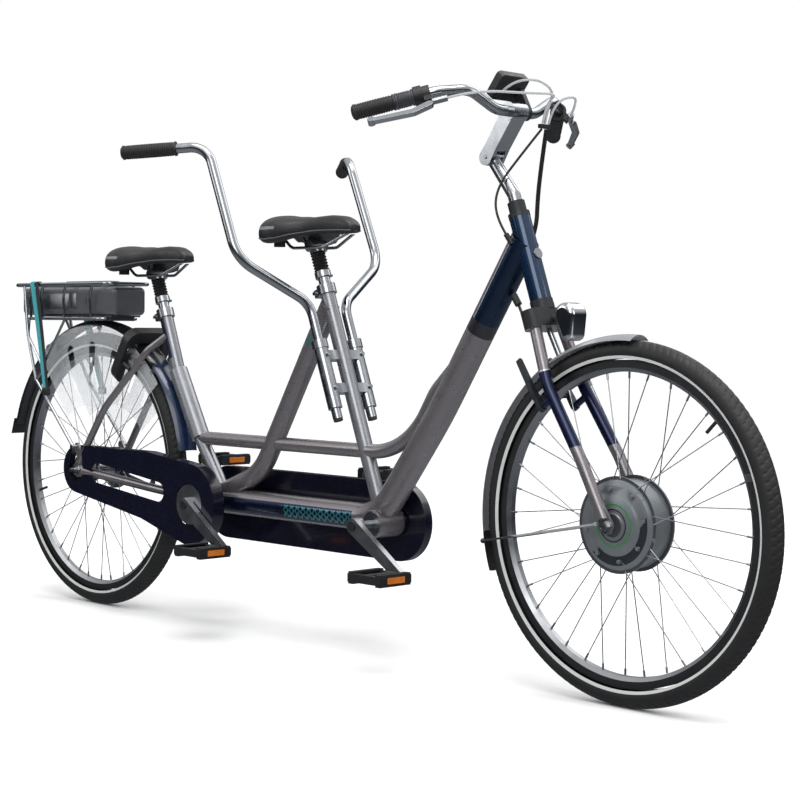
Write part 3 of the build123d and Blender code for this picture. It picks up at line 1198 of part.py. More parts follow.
def clip_point(back, side, above):
    """Point just above or below the clip beside the stem."""
    rise = (CLIP_HALF_HEIGHT + CORD_END_GAP) * (1 if above else -1)
    return CABLE_CLIP + Vector(back, side, rise)


def control_cables():
    """Housings from both levers, the shifter and the display to the clip beside the stem."""
    right, left = lever_frame(-1), lever_frame(1)
    solids = []
    right_stop = right[0] - right[1] * (38 + CORD_END_GAP) + right[2] * (LEVER_PIVOT_OUT - 8)
    left_stop = left[0] - left[1] * (38 + CORD_END_GAP) + left[2] * (LEVER_PIVOT_OUT - 8)
    clip = CABLE_CLIP
    routes = [
        [right_stop, right_stop - right[1] * 46 + Vector(4, 8, 4), Vector(1548, -62, 1192),
         Vector(1560, 2, 1196), clip + Vector(12, -9, 44), clip_point(3, -9, True)],
        [left_stop, left_stop - left[1] * 30 + Vector(6, 0, 2), Vector(1532, 92, 1204), clip + Vector(14, 13, 50),
         clip_point(3, 9, True)],
        [BAR_CENTRE + Vector(-2, -34, 40), Vector(1490, -52, 1222), Vector(1530, -24, 1226),
         Vector(1534, 20, 1206), clip + Vector(10, 2, 44), clip_point(1, 0, True)],
    ]
    for route in routes:
        solids.append(cord(route, 5.0))
    return solids


def cord(route, diameter):
    """Flexible housing: straight runs joined by the largest arcs that the runs allow."""
    points = [Vector(*p) for p in route]
    radii = []
    for before, corner, after in zip(points, points[1:], points[2:]):
        turn = radians((corner - before).get_angle(after - corner))
        shorter = min((corner - before).length, (after - corner).length)
        radii.append(0.45 * shorter / tan(turn / 2))
    print("cord radii", [round(r, 1) for r in radii], "diameter", diameter)
    path = FilletPolyline(*points, radius=radii)
    body = sweep((path ^ 0) * Circle(diameter / 2), path=path)
    print("  volume ratio", round(body.volume / (pi * diameter ** 2 / 4 * path.length), 4))
    return body


def frame_cables():
    """Conduit, gear cable and motor lead between the handlebar clip, the frame ports and the fork."""
    clip = CABLE_CLIP
    conduit_mouth, conduit_way = CONDUIT_PORT[0], CONDUIT_PORT[1].normalized()
    gear_mouth, gear_way = GEAR_PORT[0], GEAR_PORT[1].normalized()
    lead_mouth, lead_way = LEAD_PORT[0], LEAD_PORT[1].normalized()
    conduit = cord([clip_point(0, 6, False), Vector(1478, 50, 1072), Vector(1466, 52, 1000),
                    conduit_mouth - conduit_way * 52, conduit_mouth - conduit_way * CORD_END_GAP / 3], 9.0)
    gear = cord([clip_point(0, -8, False), Vector(1456, 6, 1078), Vector(1428, -30, 1016),
                 gear_mouth - gear_way * 46, gear_mouth - gear_way * CORD_END_GAP / 3], 5.0)
    lead = cord([lead_mouth - lead_way * CORD_END_GAP, Vector(1480, -7, 757), Vector(1496, -9, 749),
                 steer(448, -23.6, -9)], 6.0)
    clamp = Pos(*clip) * Box(10, 30, 2 * CLIP_HALF_HEIGHT - 0.4)
    return [conduit, gear, lead, clamp]


# ---------------------------------------------------------------- write every sub-part
def subparts():
    """Each node's name and the function that makes its solids."""
    return {
        "head_tube": head_tube,
        "main_tube": main_tube,
        "mid_tube": mid_tube,
        "front_seat_tube": front_seat_tube,
        "rear_seat_tube": rear_seat_tube,
        "diagonal_tube": diagonal_tube,
        "rear_stays": rear_stays,
        "bottom_brackets": bottom_brackets,
        "stoker_bar_sleeves": stoker_bar_sleeves,
        "timing_chain_case": timing_chain_case,
        "drive_chain_case": drive_chain_case,
        "chains": chains,
        "rear_mudguard": rear_mudguard,
        "coat_guards": coat_guards,
        "ring_lock": ring_lock,
        "carrier": carrier,
        "carrier_straps": carrier_straps,
        "rear_axle": rear_axle,
        "rear_brake": rear_brake,
        "fork": fork,
        "front_axle": front_axle,
        "front_mudguard": front_mudguard,
        "headlamp": headlamp,
        "stem_post": stem_post,
        "right_brake_arm": lambda: brake_arm(-1),
        "left_brake_arm": lambda: brake_arm(1),
        "stem_arm": stem_arm,
        "handlebar": handlebar,
        "handlebar_grips": handlebar_grips,
        "bar_clamps": bar_clamps,
        "display": display,
        "control_cables": control_cables,
        "twist_grip": twist_grip,
        "right_brake_lever": lambda: brake_lever(-1),
        "left_brake_lever": lambda: brake_lever(1),
        "front_tyre": lambda: tyre(FRONT_HUB),
        "front_rim": lambda: rim(FRONT_HUB, 45),
        "front_spokes": lambda: spokes(FRONT_HUB, 90, MOTOR_FLANGE_Y + 3.9, 15),
        "motor_hub": motor_hub,
        "rear_tyre": lambda: tyre(REAR_HUB),
        "rear_rim": lambda: rim(REAR_HUB, 195),
        "rear_spokes": lambda: spokes(REAR_HUB, 33, REAR_FLANGE_Y + 5.5, 55),
        "rear_hub": rear_hub,
        "rear_sprocket": rear_sprocket,
        "front_crankset": lambda: crankset(FRONT_BRACKET, False),
        "rear_crankset": lambda: crankset(REAR_BRACKET, True),
        "front_right_pedal": lambda: pedal(FRONT_BRACKET, -1),
        "front_left_pedal": lambda: pedal(FRONT_BRACKET, 1),
        "rear_right_pedal": lambda: pedal(REAR_BRACKET, -1),
        "rear_left_pedal": lambda: pedal(REAR_BRACKET, 1),
        "front_seatpost": lambda: seatpost(FRONT_COLLAR),
        "rear_seatpost": lambda: seatpost(REAR_COLLAR),
        "front_saddle": lambda: saddle(FRONT_COLLAR),
        "rear_saddle": lambda: saddle(REAR_COLLAR),
        "front_seat_boot": lambda: seat_boot(FRONT_COLLAR),
        "rear_seat_boot": lambda: seat_boot(REAR_COLLAR),
        "right_stoker_bar": lambda: stoker_bar(-1),
        "left_stoker_bar": lambda: stoker_bar(1),
        "battery": battery,
        "frame_cables": frame_cables,
    }


def main():
    """Build every sub-part and write it in the bicycle's own frame."""
    os.makedirs("parts", exist_ok=True)
    to_origin = Pos(-ORIGIN_X, 0, 0)
    for name, make in subparts().items():
        solids = []
        for shape in make():
            solids.extend((to_origin * shape).solids())
        export_step(Compound(solids), os.path.join("parts", name + ".step"))
        print(name, len(solids), round(sum(s.volume for s in solids) / 1000, 1))


main()
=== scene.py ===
"""Looks of a two-rider electric bicycle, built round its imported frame.

Every length below is in millimetres and every place is worked out from the frame's joints and node
boxes. The script makes the finishes, dresses or replaces each node, and sets a plain studio round it.
"""
import json
import logging
import math
from dataclasses import dataclass
from enum import Enum
from typing import Callable, Iterable, Sequence

import bmesh
import bpy
import numpy as np
from mathutils import Matrix, Vector


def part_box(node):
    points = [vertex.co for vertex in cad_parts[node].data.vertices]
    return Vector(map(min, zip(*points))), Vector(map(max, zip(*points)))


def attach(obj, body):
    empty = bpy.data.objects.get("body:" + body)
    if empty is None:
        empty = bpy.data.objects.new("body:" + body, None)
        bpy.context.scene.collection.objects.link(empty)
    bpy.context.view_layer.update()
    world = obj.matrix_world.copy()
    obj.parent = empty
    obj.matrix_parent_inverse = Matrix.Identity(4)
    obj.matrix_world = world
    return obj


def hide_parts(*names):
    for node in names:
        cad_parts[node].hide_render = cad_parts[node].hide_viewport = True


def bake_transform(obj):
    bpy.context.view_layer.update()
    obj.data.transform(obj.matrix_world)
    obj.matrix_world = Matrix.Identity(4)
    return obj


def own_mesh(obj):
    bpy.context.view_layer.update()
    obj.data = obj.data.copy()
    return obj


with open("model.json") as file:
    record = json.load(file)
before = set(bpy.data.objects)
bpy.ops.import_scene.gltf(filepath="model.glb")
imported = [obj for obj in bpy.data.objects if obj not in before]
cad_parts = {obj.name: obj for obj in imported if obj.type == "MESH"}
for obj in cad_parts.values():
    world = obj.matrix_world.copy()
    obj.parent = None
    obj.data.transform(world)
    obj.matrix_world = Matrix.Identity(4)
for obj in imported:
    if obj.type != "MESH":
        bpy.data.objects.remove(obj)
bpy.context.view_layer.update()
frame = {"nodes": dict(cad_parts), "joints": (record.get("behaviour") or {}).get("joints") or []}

log = logging.getLogger("tandem")

MM = 0.001
Point = Sequence[float]
Rule = Callable[[Vector, Vector, Vector], bool]  # part centre, part size and face middle, in mm


# ------------------------------------------------------------------ colour and nodes
def linear(code: str) -> tuple[float, float, float, float]:
    """Turn an sRGB hex code into the linear colour that shaders take.

    Args:
        code: six hex digits after a hash sign.

    Returns:
        Red, green, blue and alpha, linear.
    """
    channels = [int(code[i:i + 2], 16) / 255 for i in (1, 3, 5)]
    bright = [c / 12.92 if c <= 0.04045 else ((c + 0.055) / 1.055) ** 2.4 for c in channels]
    return (*bright, 1.0)


def per_mm(size: float) -> float:
    """Texture scale whose cells are a given number of millimetres wide."""
    return 1.0 / (size * MM)


def add_node(tree: bpy.types.NodeTree, kind: str, inputs: dict | None = None, **settings) -> bpy.types.Node:
    """Add one node with its settings, values and links.

    Args:
        tree: the node tree to add to.
        kind: the node's type name.
        inputs: socket name or index to a value, or to the socket that feeds it.
        settings: properties of the node itself.

    Returns:
        The new node.
    """
    node = tree.nodes.new(kind)
    for key, value in settings.items():
        setattr(node, key, value)
    for key, value in (inputs or {}).items():
        if isinstance(value, bpy.types.NodeSocket):
            tree.links.new(value, node.inputs[key])
        else:
            node.inputs[key].default_value = value
    return node


class Relief(Enum):
    """How a surface is broken up by the way it was made."""

    NONE = "none"
    GRAIN = "grain"
    BRUSHED = "brushed"
    FLAKES = "flakes"
    LEATHER = "leather"
    WEAVE = "weave"
    PRISMS = "prisms"
    RIBS = "ribs"


class Motif(Enum):
    """What a painted panel is filled with."""

    PLAIN = "plain"
    DIAMONDS = "diamonds"


@dataclass(frozen=True)
class Limit:
    """A slice of space: places whose distance along a direction lies between two values, in mm."""

    origin: tuple[float, float, float]
    direction: tuple[float, float, float]
    low: float
    high: float
    mirrored: bool = False


@dataclass(frozen=True)
class Panel:
    """A second paint colour inside a few slices of space."""

    colour: str
    limits: tuple[Limit, ...]
    motif: Motif = Motif.PLAIN
    cell_mm: float = 8.0


@dataclass(frozen=True)
class Finish:
    """A surface, named for what it is made of and how it was made."""

    name: str
    colour: str
    tint: str
    roughness: float
    metallic: float = 0.0
    coat: float = 0.0
    relief: Relief = Relief.GRAIN
    relief_mm: float = 0.6
    depth_mm: float = 0.02
    tint_mm: float = 30.0
    tint_share: float = 0.35
    roughness_spread: float = 0.05
    opacity: float = 1.0
    transmission: float = 0.0
    ior: float = 1.5
    along: tuple[float, float, float] = (1.0, 1.0, 1.0)
    panels: tuple[Panel, ...] = ()

    def material(self) -> bpy.types.Material:
        """The finish's material, made once and shared."""
        found = bpy.data.materials.get(self.name)
        return found if found else self.build()

    def build(self) -> bpy.types.Material:
        """Make the finish's node tree.

        Returns:
            A new material named for the finish.
        """
        made = bpy.data.materials.new(self.name)
        made.use_nodes = True
        tree = made.node_tree
        tree.nodes.clear()
        place = add_node(tree, "ShaderNodeTexCoord").outputs["Object"]
        colour = self.coloured(tree, place)
        patchy = add_node(tree, "ShaderNodeTexNoise", {"Vector": place, "Scale": per_mm(self.tint_mm * 0.7)})
        rough = add_node(tree, "ShaderNodeMapRange", {
            "Value": patchy.outputs["Fac"], "From Min": 0.3, "From Max": 0.7,
            "To Min": max(0.02, self.roughness - self.roughness_spread),
            "To Max": min(1.0, self.roughness + self.roughness_spread)})
        values = {"Base Color": colour, "Roughness": rough.outputs["Result"], "Metallic": self.metallic,
                  "Coat Weight": self.coat, "Coat Roughness": 0.04, "Alpha": self.opacity,
                  "Transmission Weight": self.transmission}
        if self.metallic < 1.0:
            values["IOR"] = self.ior
        height = self.height(tree, place)
        if height:
            bump = add_node(tree, "ShaderNodeBump", {"Height": height, "Strength": 1.0,
                                                     "Distance": self.depth_mm * MM})
            values["Normal"] = bump.outputs["Normal"]
        shader = add_node(tree, "ShaderNodeBsdfPrincipled", values)
        add_node(tree, "ShaderNodeOutputMaterial", {"Surface": shader.outputs["BSDF"]})
        made.diffuse_color = linear(self.colour)
        return made

    def stretched(self, tree: bpy.types.NodeTree, place: bpy.types.NodeSocket) -> bpy.types.NodeSocket:
        """Place vector scaled along the direction in which the surface was worked."""
        return add_node(tree, "ShaderNodeVectorMath", {0: place, 1: self.along},
                        operation="MULTIPLY").outputs["Vector"]

    def coloured(self, tree: bpy.types.NodeTree, place: bpy.types.NodeSocket) -> bpy.types.NodeSocket:
        """Base colour with its mottling, flakes and painted panels.

        Args:
            tree: the material's node tree.
            place: the object coordinates.

        Returns:
            The colour socket.
        """
        if self.relief is Relief.FLAKES:
            cells = add_node(tree, "ShaderNodeTexVoronoi", {"Vector": place, "Scale": per_mm(self.relief_mm)})
            parted = add_node(tree, "ShaderNodeSeparateColor", {"Color": cells.outputs["Color"]})
            share = parted.outputs["Red"]
        else:
            mottle = add_node(tree, "ShaderNodeTexNoise", {
                "Vector": self.stretched(tree, place), "Scale": per_mm(self.tint_mm), "Detail": 4.0})
            share = add_node(tree, "ShaderNodeMapRange", {
                "Value": mottle.outputs["Fac"], "From Min": 0.35, "From Max": 0.65}).outputs["Result"]
        amount = add_node(tree, "ShaderNodeMath", {0: share, 1: self.tint_share}, operation="MULTIPLY")
        base = self.mixed(tree, amount.outputs["Value"], linear(self.colour), linear(self.tint))
        for panel in self.panels:
            mask = self.mask(tree, place, panel)
            base = self.mixed(tree, mask, base, linear(panel.colour))
        return base

    @staticmethod
    def mixed(tree: bpy.types.NodeTree, share, first, second) -> bpy.types.NodeSocket:
        """Colour between two others.

        Args:
            tree: the node tree.
            share: socket or number from 0, the first colour, to 1, the second.
            first: socket or colour.
            second: socket or colour.

        Returns:
            The mixed colour's socket.
        """
        node = add_node(tree, "ShaderNodeMix", {0: share, 6: first, 7: second}, data_type="RGBA")
        return node.outputs[2]

    @staticmethod
    def mask(tree: bpy.types.NodeTree, place: bpy.types.NodeSocket, panel: Panel) -> bpy.types.NodeSocket:
        """Socket that is 1 inside a panel's slices of space and 0 outside them.

        Args:
            tree: the node tree.
            place: the object coordinates.
            panel: the painted panel.

        Returns:
            The mask's socket.
        """
        mask = None
        for limit in panel.limits:
            offset = add_node(tree, "ShaderNodeVectorMath", {0: place, 1: limit.origin}, operation="SUBTRACT")
            along = add_node(tree, "ShaderNodeVectorMath", {0: offset.outputs["Vector"], 1: limit.direction},
                             operation="DOT_PRODUCT").outputs["Value"]
            if limit.mirrored:
                along = add_node(tree, "ShaderNodeMath", {0: along}, operation="ABSOLUTE").outputs["Value"]
            above = add_node(tree, "ShaderNodeMath", {0: along, 1: limit.low * MM}, operation="GREATER_THAN")
            below = add_node(tree, "ShaderNodeMath", {0: along, 1: limit.high * MM}, operation="LESS_THAN")
            inside = add_node(tree, "ShaderNodeMath", {0: above.outputs["Value"], 1: below.outputs["Value"]},
                              operation="MULTIPLY").outputs["Value"]
            if mask is not None:
                inside = add_node(tree, "ShaderNodeMath", {0: inside, 1: mask},
                                  operation="MULTIPLY").outputs["Value"]
            mask = inside
        if panel.motif is Motif.DIAMONDS:
            parted = add_node(tree, "ShaderNodeSeparateXYZ", {"Vector": place})
            cell = panel.cell_mm * MM
            waves = [add_node(tree, "ShaderNodeMath", {0: parted.outputs[axis], 1: cell * share},
                              operation="PINGPONG").outputs["Value"]
                     for axis, share in (("X", 1.0), ("Z", 0.7))]
            total = add_node(tree, "ShaderNodeMath", {0: waves[0], 1: waves[1]}, operation="ADD")
            edge = add_node(tree, "ShaderNodeMath", {0: total.outputs["Value"], 1: panel.cell_mm * MM * 0.8,
                                                     2: panel.cell_mm * MM * 0.22}, operation="COMPARE")
            mask = add_node(tree, "ShaderNodeMath", {0: edge.outputs["Value"], 1: mask},
                            operation="MULTIPLY").outputs["Value"]
        return mask

    def height(self, tree: bpy.types.NodeTree, place: bpy.types.NodeSocket) -> bpy.types.NodeSocket | None:
        """Relief of the surface.

        Args:
            tree: the material's node tree.
            place: the object coordinates.

        Returns:
            The height's socket, or None on a surface with no relief.
        """
        vector, scale = self.stretched(tree, place), per_mm(self.relief_mm)
        if self.relief in (Relief.GRAIN, Relief.BRUSHED, Relief.FLAKES):
            size = scale if self.relief is not Relief.FLAKES else per_mm(2.5)
            return add_node(tree, "ShaderNodeTexNoise", {"Vector": vector, "Scale": size, "Detail": 3.0}
                            ).outputs["Fac"]
        if self.relief is Relief.LEATHER:
            cells = add_node(tree, "ShaderNodeTexVoronoi", {"Vector": vector, "Scale": scale},
                             feature="SMOOTH_F1")
            return cells.outputs["Distance"]
        if self.relief is Relief.PRISMS:
            cells = add_node(tree, "ShaderNodeTexVoronoi", {"Vector": vector, "Scale": scale},
                             distance="CHEBYCHEV")
            return cells.outputs["Distance"]
        if self.relief is Relief.RIBS:
            return add_node(tree, "ShaderNodeTexWave", {"Vector": vector, "Scale": scale / 6.2832,
                                                        "Distortion": 0.0}).outputs["Fac"]
        if self.relief is Relief.WEAVE:
            waves = [add_node(tree, "ShaderNodeTexWave", {"Vector": vector, "Scale": scale / 6.2832},
                              bands_direction=axis).outputs["Fac"] for axis in ("X", "Z")]
            return add_node(tree, "ShaderNodeMath", {0: waves[0], 1: waves[1]},
                            operation="MULTIPLY").outputs["Value"]
        return None


# ------------------------------------------------------------------ mesh tools
SHARP_DEGREES = 38.0
WELD_DISTANCE = 1e-6
FLAT_DEGREES = 0.4


def finish_object(name: str, mesh: bpy.types.Mesh, finishes: Sequence[Finish], body: str,
                  bevel: float = 0.0, replaces: Iterable[str] = ()) -> bpy.types.Object:
    """Link a mesh as a piece of the bicycle, with its finishes, edge rounding and body.

    Args:
        name: the piece's name.
        mesh: its mesh, in the frame's place.
        finishes: one finish for each material index of the mesh.
        body: the body that it rides on.
        bevel: radius of its sharp edges, in mm.
        replaces: the nodes that it stands for.

    Returns:
        The piece.
    """
    piece = bpy.data.objects.new(name, mesh)
    bpy.context.scene.collection.objects.link(piece)
    for finish in finishes:
        mesh.materials.append(finish.material())
    if bevel:
        round_edges(piece, bevel)
    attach(piece, body)
    for node in replaces:
        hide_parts(node)
    log.info("piece %s: %d faces on %s", name, len(mesh.polygons), body)
    return piece


def round_edges(piece: bpy.types.Object, radius: float) -> None:
    """Round a piece's sharp edges to a radius in mm, so that they catch the light."""
    rounding = piece.modifiers.new("edge_rounding", "BEVEL")
    rounding.width = radius * MM
    rounding.segments = 2
    rounding.limit_method = "ANGLE"
    rounding.angle_limit = math.radians(SHARP_DEGREES)
    rounding.harden_normals = True
    rounding.miter_outer = "MITER_ARC"


def soften(work: bmesh.types.BMesh) -> None:
    """Shade faces smooth, apart from the edges that turn sharply."""
    for face in work.faces:
        face.smooth = True
    limit = math.radians(SHARP_DEGREES)
    for edge in work.edges:
        edge.smooth = len(edge.link_faces) == 2 and edge.calc_face_angle(0.0) < limit


def to_mesh(name: str, work: bmesh.types.BMesh) -> bpy.types.Mesh:
    """Turn a worked mesh into a finished one, with its shading set."""
    soften(work)
    mesh = bpy.data.meshes.new(name)
    work.to_mesh(mesh)
    work.free()
    return mesh


def mesh_from(name: str, points: Iterable[Point], faces: Iterable[Sequence[int]]) -> bpy.types.Mesh:
    """Make a shaded mesh from points in metres and faces.

    Args:
        name: the mesh's name.
        points: its points.
        faces: its faces, as point numbers.

    Returns:
        The mesh, with its faces turned outwards.
    """
    raw = bpy.data.meshes.new(name + "_raw")
    raw.from_pydata([tuple(p) for p in points], [], [tuple(f) for f in faces])
    work = bmesh.new()
    work.from_mesh(raw)
    bpy.data.meshes.remove(raw)
    bmesh.ops.remove_doubles(work, verts=work.verts, dist=WELD_DISTANCE)
    bmesh.ops.recalc_face_normals(work, faces=work.faces)
    return to_mesh(name, work)


def parts_of(work: bmesh.types.BMesh) -> list[list[bmesh.types.BMFace]]:
    """Sort a mesh's faces into its separate parts."""
    left, found = set(work.faces), []
    while left:
        queue = [left.pop()]
        part = []
        while queue:
            face = queue.pop()
            part.append(face)
            for edge in face.edges:
                for other in edge.link_faces:
                    if other in left:
                        left.remove(other)
                        queue.append(other)
        found.append(part)
    return found


def cad_mesh(node: str, name: str, keep: Rule | None = None, rules: Sequence[Rule] = ()) -> bpy.types.Mesh:
    """Copy a node's mesh with its flat faces joined and its parts told apart.

    Args:
        node: the node to copy.
        name: the new mesh's name.
        keep: says which faces stay; all of them without it.
        rules: one rule for each further material; the last that holds wins.

    Returns:
        The refined copy.
    """
    work = bmesh.new()
    work.from_mesh(frame["nodes"][node].data)
    bmesh.ops.remove_doubles(work, verts=work.verts, dist=WELD_DISTANCE)
    bmesh.ops.dissolve_limit(work, angle_limit=math.radians(FLAT_DEGREES), verts=work.verts,
                             edges=work.edges)
    gone = []
    for part in parts_of(work):
        places = [plan.mm(v.co) for face in part for v in face.verts]
        low = Vector([min(p[k] for p in places) for k in range(3)])
        high = Vector([max(p[k] for p in places) for k in range(3)])
        for face in part:
            middle = plan.mm(face.calc_center_median())
            if keep is not None and not keep((low + high) / 2, high - low, middle):
                gone.append(face)
            face.material_index = 0
            for index, rule in enumerate(rules):
                if rule((low + high) / 2, high - low, middle):
                    face.material_index = index + 1
    bmesh.ops.delete(work, geom=gone, context="FACES")
    return to_mesh(name, work)


def dress(node: str, body: str, finishes: Sequence["Finish"], rules: Sequence[Rule] = (),
          bevel: float = 0.5, keep: Rule | None = None, name: str = "") -> bpy.types.Object:
    """Show a node by a refined copy of its mesh, with rounded edges and its finishes.

    Args:
        node: the node that the copy stands for.
        body: the body that it rides on.
        finishes: its first finish and one for each rule.
        rules: which faces take each further finish.
        bevel: radius of its sharp edges, in mm.
        keep: says which faces stay.
        name: the piece's name, if not the node's with "_made" added.

    Returns:
        The piece.
    """
    title = name or node + "_made"
    mesh = cad_mesh(node, title, keep, rules)
    return finish_object(title, mesh, finishes, body, bevel, (node,))


def paint(node: str, finish: Finish) -> None:
    """Give a node that stays as it is its finish."""
    piece = frame["nodes"][node]
    for slot in piece.material_slots:
        slot.material = finish.material()
    log.info("node %s: %s", node, finish.name)


def lathe(profile: Sequence[tuple[float, float]], centre: Vector, axis: Vector, steps: int,
          closed: bool = False) -> tuple[list[Vector], list[tuple[int, ...]]]:
    """Turn a profile about an axis.

    Args:
        profile: (radius, distance along the axis) in mm.
        centre: where the distance is nought.
        axis: the axis's direction.
        steps: points round the turn.
        closed: whether the profile's end joins its start.

    Returns:
        Points and faces.
    """
    across = axis.orthogonal().normalized()
    up = axis.cross(across).normalized()
    points, faces = [], []
    count = len(profile)
    for step in range(steps):
        turn = 2 * math.pi * step / steps
        out = across * math.cos(turn) + up * math.sin(turn)
        points += [centre + (out * radius + axis * along) * MM for radius, along in profile]
    for step in range(steps):
        near, far = step * count, (step + 1) % steps * count
        for k in range(count if closed else count - 1):
            nxt = (k + 1) % count
            faces.append((near + k, near + nxt, far + nxt, far + k))
    return points, faces


def loft(rings: Sequence[Sequence[Vector]], capped: bool = True, looped: bool = False
         ) -> tuple[list[Vector], list[tuple[int, ...]]]:
    """Skin rings of equal count, in order.

    Args:
        rings: closed rings of points.
        capped: whether the first and last rings are filled.
        looped: whether the last ring joins the first.

    Returns:
        Points and faces.
    """
    points = [p for ring in rings for p in ring]
    count = len(rings[0])
    faces: list[tuple[int, ...]] = []
    for index in range(len(rings) - (0 if looped else 1)):
        near, far = index * count, (index + 1) % len(rings) * count
        faces += [(near + k, near + (k + 1) % count, far + (k + 1) % count, far + k) for k in range(count)]
    if capped and not looped:
        faces.append(tuple(range(count)))
        faces.append(tuple(range((len(rings) - 1) * count, len(rings) * count)))
    return points, faces


def merge(parts: Sequence[tuple[list[Vector], list[tuple[int, ...]]]]
          ) -> tuple[list[Vector], list[tuple[int, ...]]]:
    """Join several sets of points and faces into one."""
    points: list[Vector] = []
    faces: list[tuple[int, ...]] = []
    for part_points, part_faces in parts:
        start = len(points)
        points += part_points
        faces += [tuple(i + start for i in face) for face in part_faces]
    return points, faces


def tube(line: Sequence[Vector], radius: float | Sequence[float], sides: int = 20
         ) -> tuple[list[Vector], list[tuple[int, ...]]]:
    """Round tube along a line, with no twist.

    Args:
        line: the points that it follows, in metres.
        radius: one radius, or one for each point, in mm.
        sides: points round the tube.

    Returns:
        Points and faces.
    """
    radii = [radius] * len(line) if isinstance(radius, (int, float)) else list(radius)
    heading = (line[1] - line[0]).normalized()
    across = heading.orthogonal().normalized()
    rings = []
    for index, point in enumerate(line):
        before, after = line[max(0, index - 1)], line[min(len(line) - 1, index + 1)]
        new_heading = (after - before).normalized()
        across = (heading.rotation_difference(new_heading) @ across).normalized()
        heading = new_heading
        up = heading.cross(across)
        turns = [2 * math.pi * k / sides for k in range(sides)]
        rings.append([point + (across * math.cos(t) + up * math.sin(t)) * radii[index] * MM for t in turns])
    return loft(rings)


def nurbs_line(route: Sequence[Vector]) -> list[Vector]:
    """Smooth line of a flexible cable whose route is a few points.

    Args:
        route: the points, in metres.

    Returns:
        Points along the NURBS line that the route controls.
    """
    curve = bpy.data.curves.new("route", "CURVE")
    curve.dimensions = "3D"
    curve.resolution_u = 10
    spline = curve.splines.new("NURBS")
    spline.points.add(len(route) - 1)
    for point, place in zip(spline.points, route):
        point.co = (*place, 1.0)
    spline.order_u = 3
    spline.use_endpoint_u = True
    holder = bpy.data.objects.new("route", curve)
    sampled = bpy.data.meshes.new_from_object(holder)
    line = [v.co.copy() for v in sampled.vertices]
    bpy.data.objects.remove(holder)
    bpy.data.meshes.remove(sampled)
    bpy.data.curves.remove(curve)
    return line


def rounded_box(centre: Vector, size: Point, x_axis: Vector, z_axis: Vector, corner: float, steps: int = 5
                ) -> tuple[list[Vector], list[tuple[int, ...]]]:
    """Flat box with rounded upright corners and softened top and bottom edges.

    Args:
        centre: its middle.
        size: length, width and thickness, in mm.
        x_axis: direction of its length.
        z_axis: direction of its thickness.
        corner: radius of the upright corners, in mm.
        steps: points round each corner.

    Returns:
        Points and faces.
    """
    y_axis = z_axis.cross(x_axis)
    rings = []
    edge = min(corner, size[2] / 2) * 0.35
    for inset, level in ((edge, -size[2] / 2), (edge * 0.3, -size[2] / 2 + edge * 0.3),
                         (0.0, -size[2] / 2 + edge), (0.0, size[2] / 2 - edge),
                         (edge * 0.3, size[2] / 2 - edge * 0.3), (edge, size[2] / 2)):
        ring = []
        for quarter in range(4):
            sign_x = 1 if quarter in (0, 3) else -1
            sign_y = 1 if quarter < 2 else -1
            for step in range(steps + 1):
                turn = math.pi / 2 * (quarter + step / steps)
                x = sign_x * (size[0] / 2 - corner) + (corner - inset) * math.cos(turn)
                y = sign_y * (size[1] / 2 - corner) + (corner - inset) * math.sin(turn)
                ring.append(centre + (x_axis * x + y_axis * y + z_axis * level) * MM)
        rings.append(ring)
    return loft(rings)


# ------------------------------------------------------------------ layout
def joint(name: str) -> dict:
    """The record's joint of that name."""
    return next(j for j in frame["joints"] if j["name"] == name)


@dataclass(frozen=True)
class Layout:
    """The places that the sub-assemblies are worked out from."""

    rear_hub: Vector
    front_hub: Vector
    rear_bracket: Vector
    front_bracket: Vector
    steer_up: Vector
    steer_place: Vector
    seat_up: Vector

    @classmethod
    def from_joints(cls) -> "Layout":
        """Read the places from the frame's joints."""
        return cls(Vector(joint("rear_wheel_spin")["pos_m"]), Vector(joint("front_wheel_spin")["pos_m"]),
                   Vector(joint("rear_crank_spin")["pos_m"]), Vector(joint("front_crank_spin")["pos_m"]),
                   Vector(joint("steering")["axis"]), Vector(joint("steering")["pos_m"]),
                   Vector(joint("front_seat_height")["axis"]))

    def at(self, x: float, y: float, z: float) -> Vector:
        """Place given in mm ahead of the rear hub, to its left and above the floor."""
        return Vector((self.rear_hub.x + x * MM, y * MM, z * MM))

    def mm(self, place: Vector) -> Vector:
        """Place in mm ahead of the rear hub, to its left and above the floor."""
        return Vector(((place.x - self.rear_hub.x) / MM, place.y / MM, place.z / MM))

    def steer(self, up: float, forward: float = 0.0, side: float = 0.0) -> Vector:
        """Place given in mm along, ahead of and beside the steering axis, above its foot."""
        ahead = Vector((self.steer_up.z, 0.0, -self.steer_up.x))
        foot = self.steer_place - self.steer_up * (STEER_PLACE_UP * MM)
        return foot + (self.steer_up * up + ahead * forward) * MM + Vector((0, side * MM, 0))

    def collar(self, end: str) -> Vector:
        """Top of a seat tube, found from the bellows above it."""
        low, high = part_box(end + "_seat_boot")
        return (Vector(low) + Vector(high)) / 2 - self.seat_up * (BELLOWS_UP * MM)


STEER_PLACE_UP = 500.0
BELLOWS_UP = 53.0
SIDEWAYS = Vector((0.0, 1.0, 0.0))
plan = Layout.from_joints()


# ------------------------------------------------------------------ finishes
def slab_of(origin: Vector, direction: Vector, low: float, high: float, mirrored: bool = False) -> Limit:
    """Slice of space across a direction."""
    return Limit(tuple(origin), tuple(direction.normalized()), low, high, mirrored)


# Aluminium tube sprayed with a warm grey metallic enamel: fine flakes under a clear coat, soft gloss.
GUNMETAL = Finish("gunmetal_enamel_sprayed_on_aluminium", "#858083", "#949096", 0.30, metallic=0.75, coat=0.5,
                  relief=Relief.FLAKES, relief_mm=0.9, depth_mm=0.003, tint_share=0.3)
